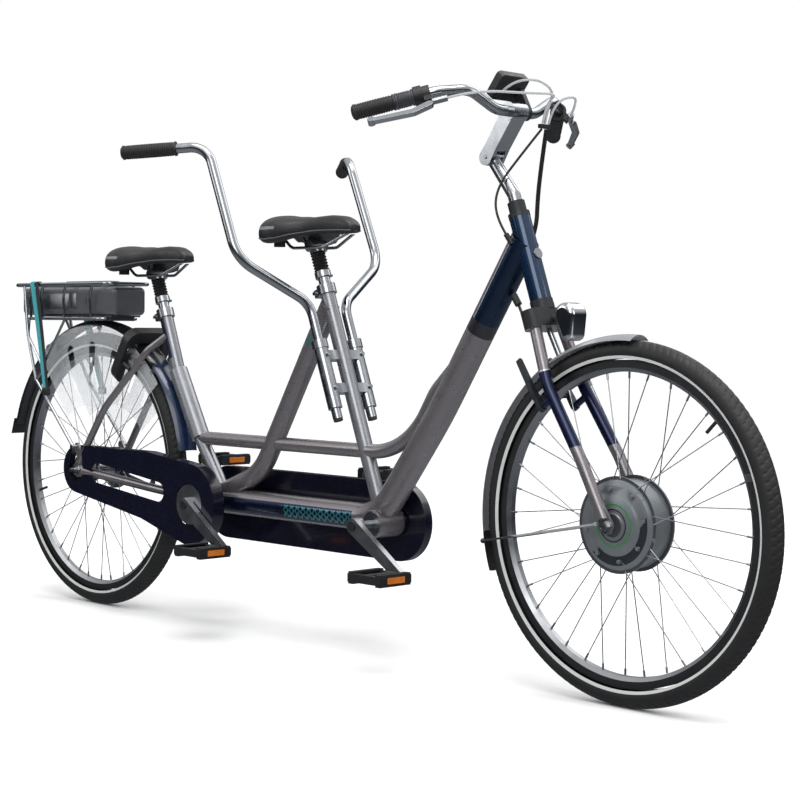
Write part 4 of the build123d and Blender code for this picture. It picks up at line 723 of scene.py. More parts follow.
# Deep blue pearl enamel under clear lacquer: dark across the tube, bright where it mirrors the light.
HEAD_BLUE = Finish("blue_pearl_enamel_lacquered", "#0b2340", "#1b4468", 0.14, metallic=0.55, coat=1.0,
                   relief=Relief.FLAKES, relief_mm=0.8, depth_mm=0.008, tint_share=0.5)

DOWN_A = plan.at(1480, 0, 910)
DOWN_ALONG = Vector((-0.5446, 0, -0.8387))
DOWN_ACROSS = Vector((-0.8387, 0, 0.5446))
BOOM = plan.at(0, 0, 0)
MAIN_PAINT = Finish(
    "gunmetal_enamel_with_blue_panels", "#858083", "#949096", 0.30, metallic=0.75, coat=0.5,
    relief=Relief.FLAKES, relief_mm=0.9, depth_mm=0.003, tint_share=0.3,
    panels=(
        Panel("#0d2440", (slab_of(DOWN_A, DOWN_ALONG, -60, 195), slab_of(DOWN_A, DOWN_ACROSS, -60, 8))),
        Panel("#c9ccd2", (slab_of(DOWN_A, DOWN_ALONG, -60, 195), slab_of(DOWN_A, DOWN_ACROSS, 8, 10.5))),
        Panel("#3a3a40", (slab_of(DOWN_A, DOWN_ALONG, 195, 225),)),
        Panel("#101a38", (slab_of(BOOM, Vector((1, 0, 0)), 505, 1000),
                          slab_of(BOOM, Vector((0, 0, 1)), 286, 323))),
        Panel("#3f8f96", (slab_of(BOOM, Vector((1, 0, 0)), 770, 998),
                          slab_of(BOOM, Vector((0, 0, 1)), 292, 319)),
              Motif.DIAMONDS, 10.0),
    ))
STEER_ROOT = plan.steer(0)
FORK_PAINT = Finish("gunmetal_enamel_with_blue_blades", "#858083", "#949096", 0.30, metallic=0.75, coat=0.6,
                    relief=Relief.FLAKES, relief_mm=0.9, depth_mm=0.003, tint_share=0.3,
                    panels=(Panel("#111c40", (slab_of(STEER_ROOT, plan.steer_up, 165, 330),)),
                            Panel("#c9ccd2", (slab_of(STEER_ROOT, plan.steer_up, 330, 333),))))
SEAT_PAINT = Finish("silver_enamel_with_dark_bands", "#909297", "#a0a2a7", 0.30, metallic=0.75, coat=0.5,
                    relief=Relief.FLAKES, relief_mm=0.9, depth_mm=0.003, tint_share=0.3,
                    panels=(Panel("#2b3048", (slab_of(plan.at(267, 0, 788), plan.seat_up, -150, -44),
                                              slab_of(plan.at(0, 0, 0), SIDEWAYS, 15.2, 40, True))),))
# Injection-moulded ABS, navy: faintly pebbled, broad soft shine.
NAVY_ABS = Finish("navy_abs_moulded", "#0c0d1a", "#10122a", 0.20, relief_mm=14.0, depth_mm=0.02, coat=0.35)
# Glass-filled nylon, moulded: dark, dull and slightly grainy.
BLACK_NYLON = Finish("black_nylon_moulded", "#18191b", "#222326", 0.46, relief_mm=0.8, depth_mm=0.04)
GREY_NYLON = Finish("dark_grey_nylon_moulded", "#33353a", "#3c3e44", 0.45, relief_mm=0.8, depth_mm=0.04)
# Thermoformed polycarbonate guard: near black with a blue front quarter, glossy.
REAR_GUARD = Finish("polycarbonate_guard_thermoformed", "#15161d", "#1c1d28", 0.24, coat=0.4, relief_mm=4.0,
                    depth_mm=0.03, panels=(Panel("#102444", (slab_of(plan.at(0, 0, 0), Vector((1, 0, 0)),
                                                                     262, 460),)),))
# The same sheet sprayed silver in front, with a dark flap below: soft, even shine.
FRONT_GUARD = Finish("silver_polycarbonate_guard", "#9a9c9f", "#a6a8ab", 0.34, metallic=0.35, coat=0.3,
                     relief_mm=4.0, depth_mm=0.03,
                     panels=(Panel("#2a2b30", (slab_of(plan.at(0, 0, 0), Vector((0, 0, 1)), 0, 312),)),))
# Aluminium, polished or brushed round: clear reflections broken by hairlines.
POLISHED = Finish("aluminium_polished", "#b4b7bb", "#a3a7ac", 0.19, metallic=1.0, relief=Relief.BRUSHED,
                  relief_mm=5.0, depth_mm=0.006, tint_share=0.4)
# Anodised after a light brushing: a wide, grey highlight.
SATIN = Finish("aluminium_anodised_satin", "#a9abae", "#999b9f", 0.34, metallic=1.0, relief=Relief.BRUSHED,
               relief_mm=0.6, depth_mm=0.01, tint_share=0.35)
# Die-cast and painted: fine orange peel that breaks up the highlight.
CAST = Finish("aluminium_die_cast_painted", "#787d81", "#858a8e", 0.40, metallic=0.6, relief_mm=0.9,
              depth_mm=0.05)
DARK_CAST = Finish("aluminium_die_cast_dark", "#2c3136", "#363c42", 0.42, metallic=0.5, relief_mm=0.9,
                   depth_mm=0.05)
# Stainless steel, drawn: bright, with faint lines along the wire.
STEEL = Finish("stainless_steel_drawn", "#b3b6ba", "#9b9ea3", 0.26, metallic=1.0, relief=Relief.BRUSHED,
               relief_mm=0.5, depth_mm=0.005, tint_share=0.5)
# Chrome plate: a nearly perfect mirror.
CHROME = Finish("steel_chromed", "#d3d5d8", "#c5c8cc", 0.08, metallic=1.0, relief=Relief.NONE, tint_mm=80.0,
                roughness_spread=0.02)
# Oiled links: dull brown-grey steel, stepped at the half-inch pitch.
CHAIN_STEEL = Finish("chain_steel_oiled", "#6b675f", "#4a453e", 0.34, metallic=0.9, relief=Relief.PRISMS,
                     relief_mm=6.35, depth_mm=1.2, tint_mm=6.0, tint_share=0.7)
# Natural rubber, vulcanised: matt near black with dust in the tread.
TYRE_RUBBER = Finish("tyre_rubber_vulcanised", "#161617", "#212022", 0.60, relief_mm=1.2, depth_mm=0.10,
                     tint_mm=45.0)
# Glass beads bound to the side wall: flat pale grey, no mirror.
REFLEX_BAND = Finish("reflective_glass_bead_band", "#b8bab9", "#a9abaa", 0.5, relief_mm=0.7, depth_mm=0.03)
# Soft rubber, moulded: matt, with a fine grain.
GRIP_RUBBER = Finish("grip_rubber_moulded", "#1c1c1e", "#242426", 0.58, relief_mm=0.7, depth_mm=0.06)
BELLOWS = Finish("bellows_rubber_moulded", "#141415", "#1e1e20", 0.48, relief_mm=0.9, depth_mm=0.04)
# Polyurethane-coated cover: fine leather pebble, with a dull shine on the crown.
SADDLE_COVER = Finish("saddle_cover_coated_fabric", "#1a1a1c", "#242427", 0.44, relief=Relief.LEATHER,
                      relief_mm=2.2, depth_mm=0.25, tint_mm=40.0)
# The same cover in grey, sewn in as a stripe.
SADDLE_TRIM = Finish("saddle_trim_grey_fabric", "#6d6f72", "#7b7d80", 0.55, relief=Relief.LEATHER,
                     relief_mm=2.2, depth_mm=0.2)
# Twisted seam cord: small ribs across its run.
SEAM_THREAD = Finish("polyester_seam_cord", "#4b4d50", "#5a5c5f", 0.6, relief=Relief.RIBS, relief_mm=2.0,
                     depth_mm=0.3)
# Woven elastic webbing: crossed ribs 1.6 mm apart, drawn a little coarser than real so that they show.
TEAL_WEBBING = Finish("teal_elastic_webbing_woven", "#2f8f96", "#267a82", 0.72, relief=Relief.WEAVE,
                      relief_mm=1.6, depth_mm=0.35, tint_mm=12.0)
BLACK_WEBBING = Finish("black_elastic_webbing_woven", "#1d1e20", "#2a2b2e", 0.75, relief=Relief.WEAVE,
                       relief_mm=1.6, depth_mm=0.35, tint_mm=12.0)
# Extruded PVC cable housings: smooth, with a low shine.
GREY_HOUSING = Finish("cable_housing_grey_pvc", "#a9abad", "#9a9c9f", 0.38, relief_mm=3.0, depth_mm=0.04)
BLACK_HOUSING = Finish("cable_conduit_black_pvc", "#151516", "#1f1f21", 0.42, relief_mm=3.0, depth_mm=0.05)
# ABS battery case, painted silver, with dark moulded ends.
BATTERY_SILVER = Finish("abs_painted_silver", "#5b5c60", "#66676b", 0.34, metallic=0.4, coat=0.3,
                        relief_mm=0.8, depth_mm=0.02)
# Clear polycarbonate, moulded: the lamp front and the smoked coat guard, both with a slight edge tint.
CLEAR_LENS = Finish("lamp_lens_clear_polycarbonate", "#eef1f3", "#e4e8ea", 0.06, relief=Relief.PRISMS,
                    relief_mm=7.0, depth_mm=0.6, transmission=0.85, ior=1.58, tint_share=0.1)
COAT_PANEL = Finish("coat_guard_frosted_polycarbonate", "#dfe3e7", "#d3d8dd", 0.12, relief_mm=2.0,
                    depth_mm=0.02, opacity=0.22, ior=1.58)
# Moulded prisms behind a clear face: deep amber that glints.
AMBER = Finish("amber_prismatic_reflector", "#b5601a", "#cf7d2c", 0.14, relief=Relief.PRISMS, relief_mm=3.0,
               depth_mm=0.8, coat=1.0)
# Glass over a liquid crystal panel: dull green-grey under a clear mirror.
SCREEN = Finish("liquid_crystal_screen_glass", "#4a524c", "#566058", 0.08, relief=Relief.NONE, coat=1.0)
# Anodised green ring: metallic, softly coloured.
GREEN_TRIM = Finish("green_anodised_trim", "#4d9b58", "#5aab66", 0.35, metallic=0.6, relief_mm=0.6)


# ------------------------------------------------------------------ wheels
@dataclass
class Tyre:
    """Touring tyre: slanted grooves across the tread and a narrow reflective band on each side."""

    node: str
    body: str
    centre: Vector
    radius: float = 355.0
    section: float = 45.0
    wall: float = 4.0
    groove: float = 1.4
    grooves: int = 132
    steps: int = 1056
    across: int = 30

    def depth(self, turn: float, lean: float) -> float:
        """Depth of the tread below the tyre's outline.

        Args:
            turn: share of a groove's pitch round the wheel.
            lean: angle round the section from the crown, in degrees.

        Returns:
            Depth in mm.
        """
        side = abs(lean)
        if side > 52.0:
            return 0.0
        if side < 5.0:
            return 0.0
        shift = (turn + side / 60.0 + (0.5 if lean > 0 else 0.0)) % 1.0
        if 30.0 < side < 34.0:
            return self.groove * 0.7
        return self.groove if shift < 0.24 else 0.0

    def build(self) -> bpy.types.Mesh:
        """Make the tyre as a hollow ring.

        Returns:
            Its mesh, with the reflective bands as a second material.
        """
        half = self.section / 2
        middle = self.radius - half
        leans = [-126.0 + 252.0 * k / self.across for k in range(self.across + 1)]
        inner = [(middle + (half - self.wall) * math.cos(math.radians(a)),
                  (half - self.wall) * math.sin(math.radians(a))) for a in reversed(leans[::3])]
        points, faces = [], []
        for step in range(self.steps):
            turn = 2 * math.pi * step / self.steps
            out = Vector((math.cos(turn), 0.0, math.sin(turn)))
            share = step * self.grooves / self.steps % 1.0
            for lean in leans:
                reach = half - self.depth(share, lean)
                angle = math.radians(lean)
                points.append(self.centre + (out * (middle + reach * math.cos(angle))
                                             + SIDEWAYS * (reach * math.sin(angle))) * MM)
            points += [self.centre + (out * r + SIDEWAYS * y) * MM for r, y in inner]
        count = len(leans) + len(inner)
        for step in range(self.steps):
            near, far = step * count, (step + 1) % self.steps * count
            faces += [(near + k, near + (k + 1) % count, far + (k + 1) % count, far + k)
                      for k in range(count)]
        mesh = mesh_from(self.node + "_tread", points, faces)
        for face in mesh.polygons:
            place = face.center - self.centre
            reach = math.hypot(place.x, place.z) / MM
            if abs(place.y) > 18.5 * MM and 319.0 < reach < 324.5:
                face.material_index = 1
        return mesh

    def dress(self) -> None:
        """Place the tyre on its wheel."""
        finish_object(self.node + "_tread", self.build(), (TYRE_RUBBER, REFLEX_BAND), self.body,
                      replaces=(self.node,))


@dataclass
class Wheel:
    """One wheel's tyre, rim and spokes."""

    end: str
    centre: Vector

    def build(self) -> None:
        """Make the tyre and dress the rim and the spokes."""
        body = self.end + "_wheel"
        Tyre(self.end + "_tyre", body, self.centre).dress()
        dress(self.end + "_rim", body, (SATIN, BLACK_NYLON), (self.is_valve,), bevel=0.6)
        paint(self.end + "_spokes", STEEL)

    def is_valve(self, centre: Vector, size: Vector, middle: Vector) -> bool:
        """Whether a face is on the valve, inside the rim."""
        place = middle - plan.mm(self.centre)
        return math.hypot(place.x, place.z) < 290.0


@dataclass
class Hubs:
    """Front hub motor and rear hub with its sprocket and brake."""

    trim_radius: float = 41.0

    def reach(self, middle: Vector) -> float:
        """Distance of a face from the front hub's axis, in mm."""
        place = middle - plan.mm(plan.front_hub)
        return math.hypot(place.x, place.z)

    def build(self) -> None:
        """Dress the motor's rings and covers and the rear hub."""
        dress("motor_hub", "front_wheel", (CAST, GREY_NYLON, DARK_CAST), (
            lambda c, s, m: self.reach(m) < 23, lambda c, s, m: 46 <= self.reach(m) < 52), bevel=0.8)
        rings = []
        for side in (-1, 1):
            for radius, level, thick in ((self.trim_radius, 41.2, 1.6), (31.0, 42.3, 1.2)):
                profile = [(radius - thick, level - 1.0), (radius - thick, level + 0.5),
                           (radius, level + 0.8), (radius + thick, level + 0.5), (radius + thick, level - 1.0)]
                rings.append(lathe(profile, plan.front_hub, SIDEWAYS * side, 96, closed=True))
        mesh = mesh_from("motor_trim_rings", *merge([rings[0], rings[2]]))
        finish_object("motor_trim_rings", mesh, (GREEN_TRIM,), "front_wheel")
        mesh = mesh_from("motor_cap_rings", *merge([rings[1], rings[3]]))
        finish_object("motor_cap_rings", mesh, (DARK_CAST,), "front_wheel")
        dress("rear_hub", "rear_wheel", (POLISHED,), bevel=0.8)
        dress("rear_brake", "frame", (SATIN, GREY_NYLON),
              (lambda c, s, m: math.hypot(m.x, m.z - 355) < 20,), bevel=0.5)
        paint("rear_sprocket", STEEL)
        dress("front_axle", "fork", (STEEL, GREY_NYLON), (lambda c, s, m: s.y < 8 and s.x > 24,), bevel=0.4)
        dress("rear_axle", "frame", (STEEL,), bevel=0.4)


# ------------------------------------------------------------------ frame
@dataclass
class FrameTubes:
    """Painted tubes, with their collars and ports picked out."""

    def build(self) -> None:
        """Dress every tube of the frame."""
        dress("head_tube", "frame", (HEAD_BLUE, BLACK_NYLON, SATIN), (
            lambda c, s, m: s.x < 60 and s.z < 60, lambda c, s, m: s.y < 24 and s.z < 26 and c.x < 1530), 0.6)
        dress("main_tube", "frame", (MAIN_PAINT, BLACK_NYLON), (lambda c, s, m: s.x < 60,), 0.6)
        dress("mid_tube", "frame", (GUNMETAL,), bevel=0.0)
        for node, paint_finish in (("front_seat_tube", SEAT_PAINT), ("rear_seat_tube", SEAT_PAINT)):
            dress(node, "frame", (paint_finish, POLISHED), (lambda c, s, m: s.z < 60,), 0.8)
        dress("diagonal_tube", "frame", (DIAGONAL_PAINT,), bevel=0.0)
        dress("rear_stays", "frame", (GUNMETAL,), bevel=0.8)
        dress("bottom_brackets", "frame", (GUNMETAL, STEEL), (lambda c, s, m: s.y < 72.5,), 0.8)
        dress("stoker_bar_sleeves", "frame", (POLISHED,), bevel=1.0)


DIAGONAL_DOWN = (plan.at(655, 0, 384) - plan.at(893, 0, 780)).normalized()
DIAGONAL_PAINT = Finish("gunmetal_enamel_with_teal_mark", "#858083", "#949096", 0.30, metallic=0.75, coat=0.5,
                        relief=Relief.FLAKES, relief_mm=0.9, depth_mm=0.003, tint_share=0.3,
                        panels=(Panel("#2f9aa0", (slab_of(plan.at(893, 0, 780), DIAGONAL_DOWN, 72, 108),
                                                  slab_of(plan.at(893, 0, 780), DIAGONAL_DOWN.cross(SIDEWAYS),
                                                          -9, 9)), Motif.DIAMONDS, 9.0),))


# ------------------------------------------------------------------ fork and lamp
@dataclass
class Fork:
    """Fork, front guard, brake arms and lamp."""

    lamp_tilt: float = 24.0

    def build(self) -> None:
        """Dress the fork's own parts and fit the lamp."""
        dress("fork", "fork", (FORK_PAINT, BLACK_NYLON), (
            lambda c, s, m: (m - plan.mm(plan.steer(0))).dot(plan.steer_up) > 424,), 1.2)
        dress("front_mudguard", "fork", (FRONT_GUARD, STEEL), (lambda c, s, m: s.x < 300,), 0.5)
        for side in ("right", "left"):
            node = side + "_brake_arm"
            dress(node, node, (DARK_CAST, BLACK_NYLON), (lambda c, s, m: s.y < 12,), 1.0)
        self.lamp()

    def lamp(self) -> None:
        """Dress the lamp and put its reflector bowl behind the lens."""
        dress("headlamp", "fork", (CHROME, CLEAR_LENS, GREY_NYLON), (
            lambda c, s, m: c.x > 1609, lambda c, s, m: s.y < 20), 0.4)
        tilt = math.radians(self.lamp_tilt)
        ahead = Vector((math.cos(tilt), 0.0, math.sin(tilt)))
        centre = plan.at(1604, 0, 752)
        profile = [(2.0, 0.0), (6.0, 0.6), (11.0, 2.4), (15.0, 5.0), (18.0, 8.2), (19.0, 8.2), (16.0, 4.2),
                   (11.5, 1.2), (6.0, -0.6), (2.0, -1.2)]
        bowl = lathe(profile, centre + ahead * 0.004, ahead, 48, closed=True)
        mesh = mesh_from("lamp_reflector_bowl", *bowl)
        finish_object("lamp_reflector_bowl", mesh, (CHROME,), "fork")


# ------------------------------------------------------------------ handlebar group
@dataclass
class Grip:
    """Rubber grip with raised bands, a flange and a domed end, made round a straight bar."""

    name: str
    body: str
    nodes: tuple[str, ...]
    start: Vector
    end: Vector
    radius: float = 16.4
    bore: float = 11.2
    pitch: float = 5.2
    closed_end: bool = True
    finish: Finish = GRIP_RUBBER

    def build(self) -> bpy.types.Mesh:
        """Turn the grip's outline about its bar."""
        length = (self.end - self.start).length / MM
        outline = [(self.bore, 0.0), (self.radius - 0.4, 0.0), (self.radius, 0.6), (self.radius, 4.0),
                   (self.radius - 2.0, 5.0)]
        along = 8.0
        while along < length - 8.0:
            swell = 0.5 * math.sin(math.pi * along / length)
            for shift, rise in ((0.0, -2.0), (0.7, -1.0), (self.pitch - 1.9, -1.0), (self.pitch - 1.2, -2.0)):
                outline.append((self.radius + rise + swell, along + shift))
            along += self.pitch
        outline += [(self.radius - 2.0, length - 6.0), (self.radius - 0.2, length - 5.0),
                    (self.radius - 0.2, length - 1.5), (self.radius - 2.0, length)]
        if self.closed_end:
            outline += [(self.radius - 5.0, length + 2.6), (6.0, length + 4.2), (0.5, length + 4.6),
                        (0.5, length - 1.0), (self.bore, length - 1.0)]
        else:
            outline += [(self.bore, length)]
        return mesh_from(self.name, *lathe(outline, self.start, (self.end - self.start).normalized(), 56,
                                           closed=True))

    def dress(self) -> None:
        """Place the grip."""
        finish_object(self.name, self.build(), (self.finish,), self.body, replaces=self.nodes)


@dataclass
class Handlebar:
    """Stem, bar, clamps, levers, grips and the handlebar computer."""

    run_start: tuple[float, float, float] = (1405, 185, 1196)
    run_end: tuple[float, float, float] = (1290, 300, 1153)
    twist_start: float = 45.0
    twist_length: float = 38.0
    left_start: float = 36.0

    def bar_point(self, along: float, side: int) -> Vector:
        """Place on the bar's straight end run, right (-1) or left (+1)."""
        start, end = Vector(self.run_start), Vector(self.run_end)
        point = start + (end - start).normalized() * along
        return plan.at(point.x, point.y * side, point.z)

    @property
    def run(self) -> float:
        """Length of the bar's end run, in mm."""
        return (Vector(self.run_end) - Vector(self.run_start)).length

    def build(self) -> None:
        """Dress the stem and the bar and make what is held on them."""
        dress("stem_post", "fork", (POLISHED, BLACK_NYLON), (
            lambda c, s, m: s.x > 60 and (m - plan.mm(plan.steer(0))).dot(plan.steer_up) < 694,), 1.2)
        dress("stem_arm", "handlebar", (POLISHED, STEEL), (
            lambda c, s, m: abs(m.y) > 21.5 and (m - Vector((1386, 0, 1080))).length < 26,), 2.0)
        dress("handlebar", "handlebar", (POLISHED,), bevel=0.4)
        dress("bar_clamps", "handlebar", (BLACK_NYLON, SATIN), (lambda c, s, m: s.length < 62,), 1.2)
        for side in ("right", "left"):
            dress(side + "_brake_lever", side + "_brake_lever", (POLISHED,), bevel=1.6)
        self.grips()
        self.computer()

    def grips(self) -> None:
        """Make both grips and the shifter's sleeve."""
        right = self.bar_point(self.twist_start + self.twist_length + 0.4, -1)
        Grip("right_grip_ribbed", "handlebar", ("handlebar_grips",), right,
             self.bar_point(self.run, -1)).dress()
        Grip("left_grip_ribbed", "handlebar", ("handlebar_grips",), self.bar_point(self.left_start, 1),
             self.bar_point(self.run, 1)).dress()
        Grip("shifter_sleeve_ribbed", "twist_grip", ("twist_grip",), self.bar_point(self.twist_start, -1),
             self.bar_point(self.twist_start + self.twist_length, -1), radius=16.9, bore=11.25, pitch=3.6,
             closed_end=False, finish=GREY_NYLON).dress()

    def computer(self) -> None:
        """Dress the computer and give it its buttons."""
        dress("display", "handlebar", (BLACK_NYLON, SCREEN), (lambda c, s, m: s.y < 68 and s.y > 60,), 1.4)
        tilt = math.radians(52)
        up, ahead = Vector((-math.sin(tilt), 0, math.cos(tilt))), Vector((math.cos(tilt), 0, math.sin(tilt)))
        keys = [rounded_box(plan.at(1428, y, 1222) + (up * 9.6 - ahead * 24.4) * MM, (14, 5, 1.8),
                            SIDEWAYS, up, 2.2) for y in (-22, 0, 22)]
        mesh = mesh_from("computer_keys", *merge(keys))
        finish_object("computer_keys", mesh, (GREY_NYLON,), "handlebar")


@dataclass
class Cables:
    """Housings from the controls to the clip, and from there to the frame's ports."""

    clip: tuple[float, float, float] = (1490, 43, 1140)
    control: float = 5.0
    conduit: float = 9.0
    lead: float = 6.0

    def build(self) -> None:
        """Make each cable along its route."""
        bar = Handlebar()
        stops = []
        for side in (-1, 1):
            base, along, out = self.lever_frame(bar, side)
            stops.append((base - along * 38.9 + out * 32.0, along))
        clip = Vector(self.clip)
        right, left = stops
        step = Vector((0, 0, 5.4))
        routes = {
            "right_brake_housing": [right[0], right[0] - right[1] * 46 + Vector((4, 8, 4)),
                                    Vector((1548, -62, 1192)), Vector((1560, 2, 1196)),
                                    clip + Vector((12, -9, 44)), clip + Vector((3, -9, 0)) + step],
            "left_brake_housing": [left[0], left[0] - left[1] * 30 + Vector((6, 0, 2)),
                                   Vector((1532, 92, 1204)),
                                   clip + Vector((14, 13, 50)), clip + Vector((3, 9, 0)) + step],
            "computer_lead": [Vector((1446, -34, 1209)), Vector((1490, -52, 1222)), Vector((1530, -24, 1226)),
                              Vector((1534, 20, 1206)), clip + Vector((10, 2, 44)),
                              clip + Vector((1, 0, 0)) + step],
        }
        for name, route in routes.items():
            piece = self.housing(name, route, self.control, GREY_HOUSING, "handlebar", "control_cables")
            tuple(plan.at(1530, 20, 1215))
            tuple(plan.at(*(clip + step)))
            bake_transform(piece)
        down = Vector((0, 0, -5.4))
        conduit_way = Vector((-14, -15, -45)).normalized()
        gear_way = Vector((26, 10, -43)).normalized()
        conduit = [clip + Vector((0, 6, 0)) + down, Vector((1478, 50, 1072)), Vector((1466, 52, 1000)),
                   Vector((1447, 38, 880)) - conduit_way * 52, Vector((1447, 38, 880)) - conduit_way * 0.3]
        gear = [clip + Vector((0, -8, 0)) + down, Vector((1456, 6, 1078)), Vector((1428, -30, 1016)),
                Vector((1458, -34, 920)) - gear_way * 46, Vector((1458, -34, 920)) - gear_way * 0.3]
        for name, route, size, finish in (("main_conduit", conduit, self.conduit, BLACK_HOUSING),
                                          ("gear_housing", gear, self.control, BLACK_HOUSING)):
            piece = self.housing(name, route, size, finish, "fork", "frame_cables")
            tuple(plan.at(*route[0]))
            tuple(plan.at(*route[-1]))
            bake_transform(piece)
        lead_way = Vector((-24, 0, 34)).normalized()
        foot = plan.mm(plan.steer(448, -23.6, -9))
        route = [Vector((1464, 0, 778)) - lead_way * 0.9, Vector((1480, -7, 757)),
                 Vector((1496, -9, 749)), foot]
        piece = self.housing("motor_lead", route, self.lead, BLACK_HOUSING, "fork", "frame_cables")
        tuple(plan.at(*route[0]))
        tuple(plan.at(*route[-1]))
        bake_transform(piece)
        dress("frame_cables", "fork", (BLACK_NYLON,), bevel=1.0, name="cable_clip_made",
              keep=lambda c, s, m: s.z < 12 and s.y > 25)

    def lever_frame(self, bar: Handlebar, side: int) -> tuple[Vector, Vector, Vector]:
        """Place, along-bar direction and outward direction of a brake lever's clamp, in mm."""
        base = plan.mm(bar.bar_point(20.0, side))
        start, end = plan.mm(bar.bar_point(0.0, side)), plan.mm(bar.bar_point(100.0, side))
        along = (end - start).normalized()
        flat = Vector((-along.y, along.x, 0)).normalized() * (-1 if side > 0 else 1)
        drop = along.cross(flat).normalized()
        if drop.z > 0:
            drop = -drop
        tilt = math.radians(40.0)
        return base, along, (flat * math.cos(tilt) + drop * math.sin(tilt)).normalized()

    def housing(self, name: str, route: Sequence[Vector], size: float, finish: Finish, body: str,
                node: str) -> bpy.types.Object:
        """Make one housing as a tube along the smooth line that its route controls.

        Args:
            name: the piece's name.
            route: its points, in mm.
            size: its diameter in mm.
            finish: its finish.
            body: the body it is on, for the log.
            node: the node that it stands for.

        Returns:
            The piece, still riding on nothing.
        """
        line = nurbs_line([plan.at(*p) for p in route])
        mesh = mesh_from(name, *tube(line, size / 2, 16))
        piece = bpy.data.objects.new(name, mesh)
        bpy.context.scene.collection.objects.link(piece)
        mesh.materials.append(finish.material())
        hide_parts(node)
        log.info("piece %s: housing between %s and its stop", name, body)
        return piece


# ------------------------------------------------------------------ seats
@dataclass
class Saddle:
    """Wide touring saddle: padded shell with deep skirts, a light trim flash and a seam cord."""

    end: str
    collar: Vector
    length: float = 252.0
    back: float = 121.0
    stations: int = 26
    around: int = 44

    @property
    def head(self) -> Vector:
        """Top of the saddle's piston, in mm."""
        return plan.mm(self.collar) + plan.seat_up * 76.0

    def half_width(self, t: float) -> float:
        """Half the saddle's width at a share of its length from the rear, in mm."""
        marks = [(0.0, 62), (0.06, 88), (0.16, 103), (0.28, 104), (0.40, 86), (0.52, 58), (0.66, 37),
                 (0.80, 27), (0.92, 23), (0.975, 18), (1.0, 9)]
        return float(np.interp(t, [m[0] for m in marks], [m[1] for m in marks]))

    def top(self, t: float) -> float:
        """Height of the crown above the saddle's base, in mm."""
        marks = [(0.0, 30), (0.05, 41), (0.14, 47), (0.26, 47), (0.40, 41), (0.50, 40), (0.62, 43),
                 (0.74, 45), (0.86, 41), (0.95, 32), (1.0, 20)]
        return float(np.interp(t, [m[0] for m in marks], [m[1] for m in marks]))

    def skirt(self, t: float) -> float:
        """Height of the skirt's lower edge above the saddle's base, in mm."""
        marks = [(0.0, -16), (0.08, -27), (0.20, -31), (0.32, -27), (0.45, -13), (0.6, -4), (0.80, -3),
                 (0.95, -1), (1.0, 5)]
        return float(np.interp(t, [m[0] for m in marks], [m[1] for m in marks]))

    def ring(self, t: float) -> list[Vector]:
        """Closed outline across the saddle at a share of its length."""
        width, top, low = self.half_width(t), self.top(t), self.skirt(t)
        middle, tall = low + (top - low) * 0.42, top - low
        ring = []
        for k in range(self.around):
            turn = 2 * math.pi * k / self.around
            c, s = math.cos(turn), math.sin(turn)
            y = width * math.copysign(abs(c) ** 0.72, c)
            z = middle + math.copysign(abs(s) ** 0.80, s) * (tall * (0.58 if s > 0 else 0.42))
            if s > 0:
                z -= 3.0 * math.exp(-(y / 11.0) ** 2) * max(0.0, min(1.0, 6 * t, 3.2 - 3.6 * t))
            if s < 0:
                z += max(5.0, 6.0 - low) * math.exp(-(y / (width * 0.62)) ** 4)
            notch = 13.0 * math.exp(-(y / 30.0) ** 2) * max(0.0, 1.0 - t * 5.0)
            ring.append(plan.at(self.head.x - self.back + self.length * t + notch, y, self.head.z + 40 + z))
        return ring

    def build(self) -> None:
        """Make the padded cover and its seam, and dress the rails and the clamp."""
        body, node = self.end + "_saddle", self.end + "_saddle"
        shares = [0.5 - 0.5 * math.cos(math.pi * i / (self.stations - 1)) for i in range(self.stations)]
        shares = [0.6 * a + 0.4 * i / (self.stations - 1) for i, a in enumerate(shares)]
        rings = [self.ring(t) for t in shares]
        mesh = mesh_from(self.end + "_saddle_cover", *loft(rings))
        strips = (int(self.around * 0.04), int(self.around * 0.455))
        for station, share in enumerate(shares[:-1]):
            if 0.02 < share < 0.30:
                for strip in strips:
                    mesh.polygons[station * self.around + strip].material_index = 1
        piece = finish_object(self.end + "_saddle_cover", mesh, (SADDLE_COVER, SADDLE_TRIM), body,
                              replaces=(node,))
        rounding = piece.modifiers.new("padded_surface", "SUBSURF")
        rounding.levels = 1
        rounding.render_levels = 2
        self.seam(rings, body, node)
        dress(node, body, (STEEL, BLACK_NYLON, SATIN), (
            lambda c, s, m: s.x < 32 and s.z < 30, lambda c, s, m: s.x > 30 and s.y > 26 and s.z > 60), 0.8,
            keep=lambda c, s, m: s.y < 150, name=self.end + "_saddle_frame")

    def seam(self, rings: list[list[Vector]], body: str, node: str) -> None:
        """Lay the seam cord round the skirt, above its lower edge."""
        count = self.around
        left, right = int(count * 0.945), int(count * 0.555)
        line = [r[left] for r in reversed(rings[:-1])]
        line += [rings[0][k % count] for k in range(left - 1, right, -1)]
        line += [r[right] for r in rings[:-1]]
        mesh = mesh_from(self.end + "_saddle_seam", *tube(line, 1.5, 8))
        finish_object(self.end + "_saddle_seam", mesh, (SEAM_THREAD,), body, replaces=(node,))


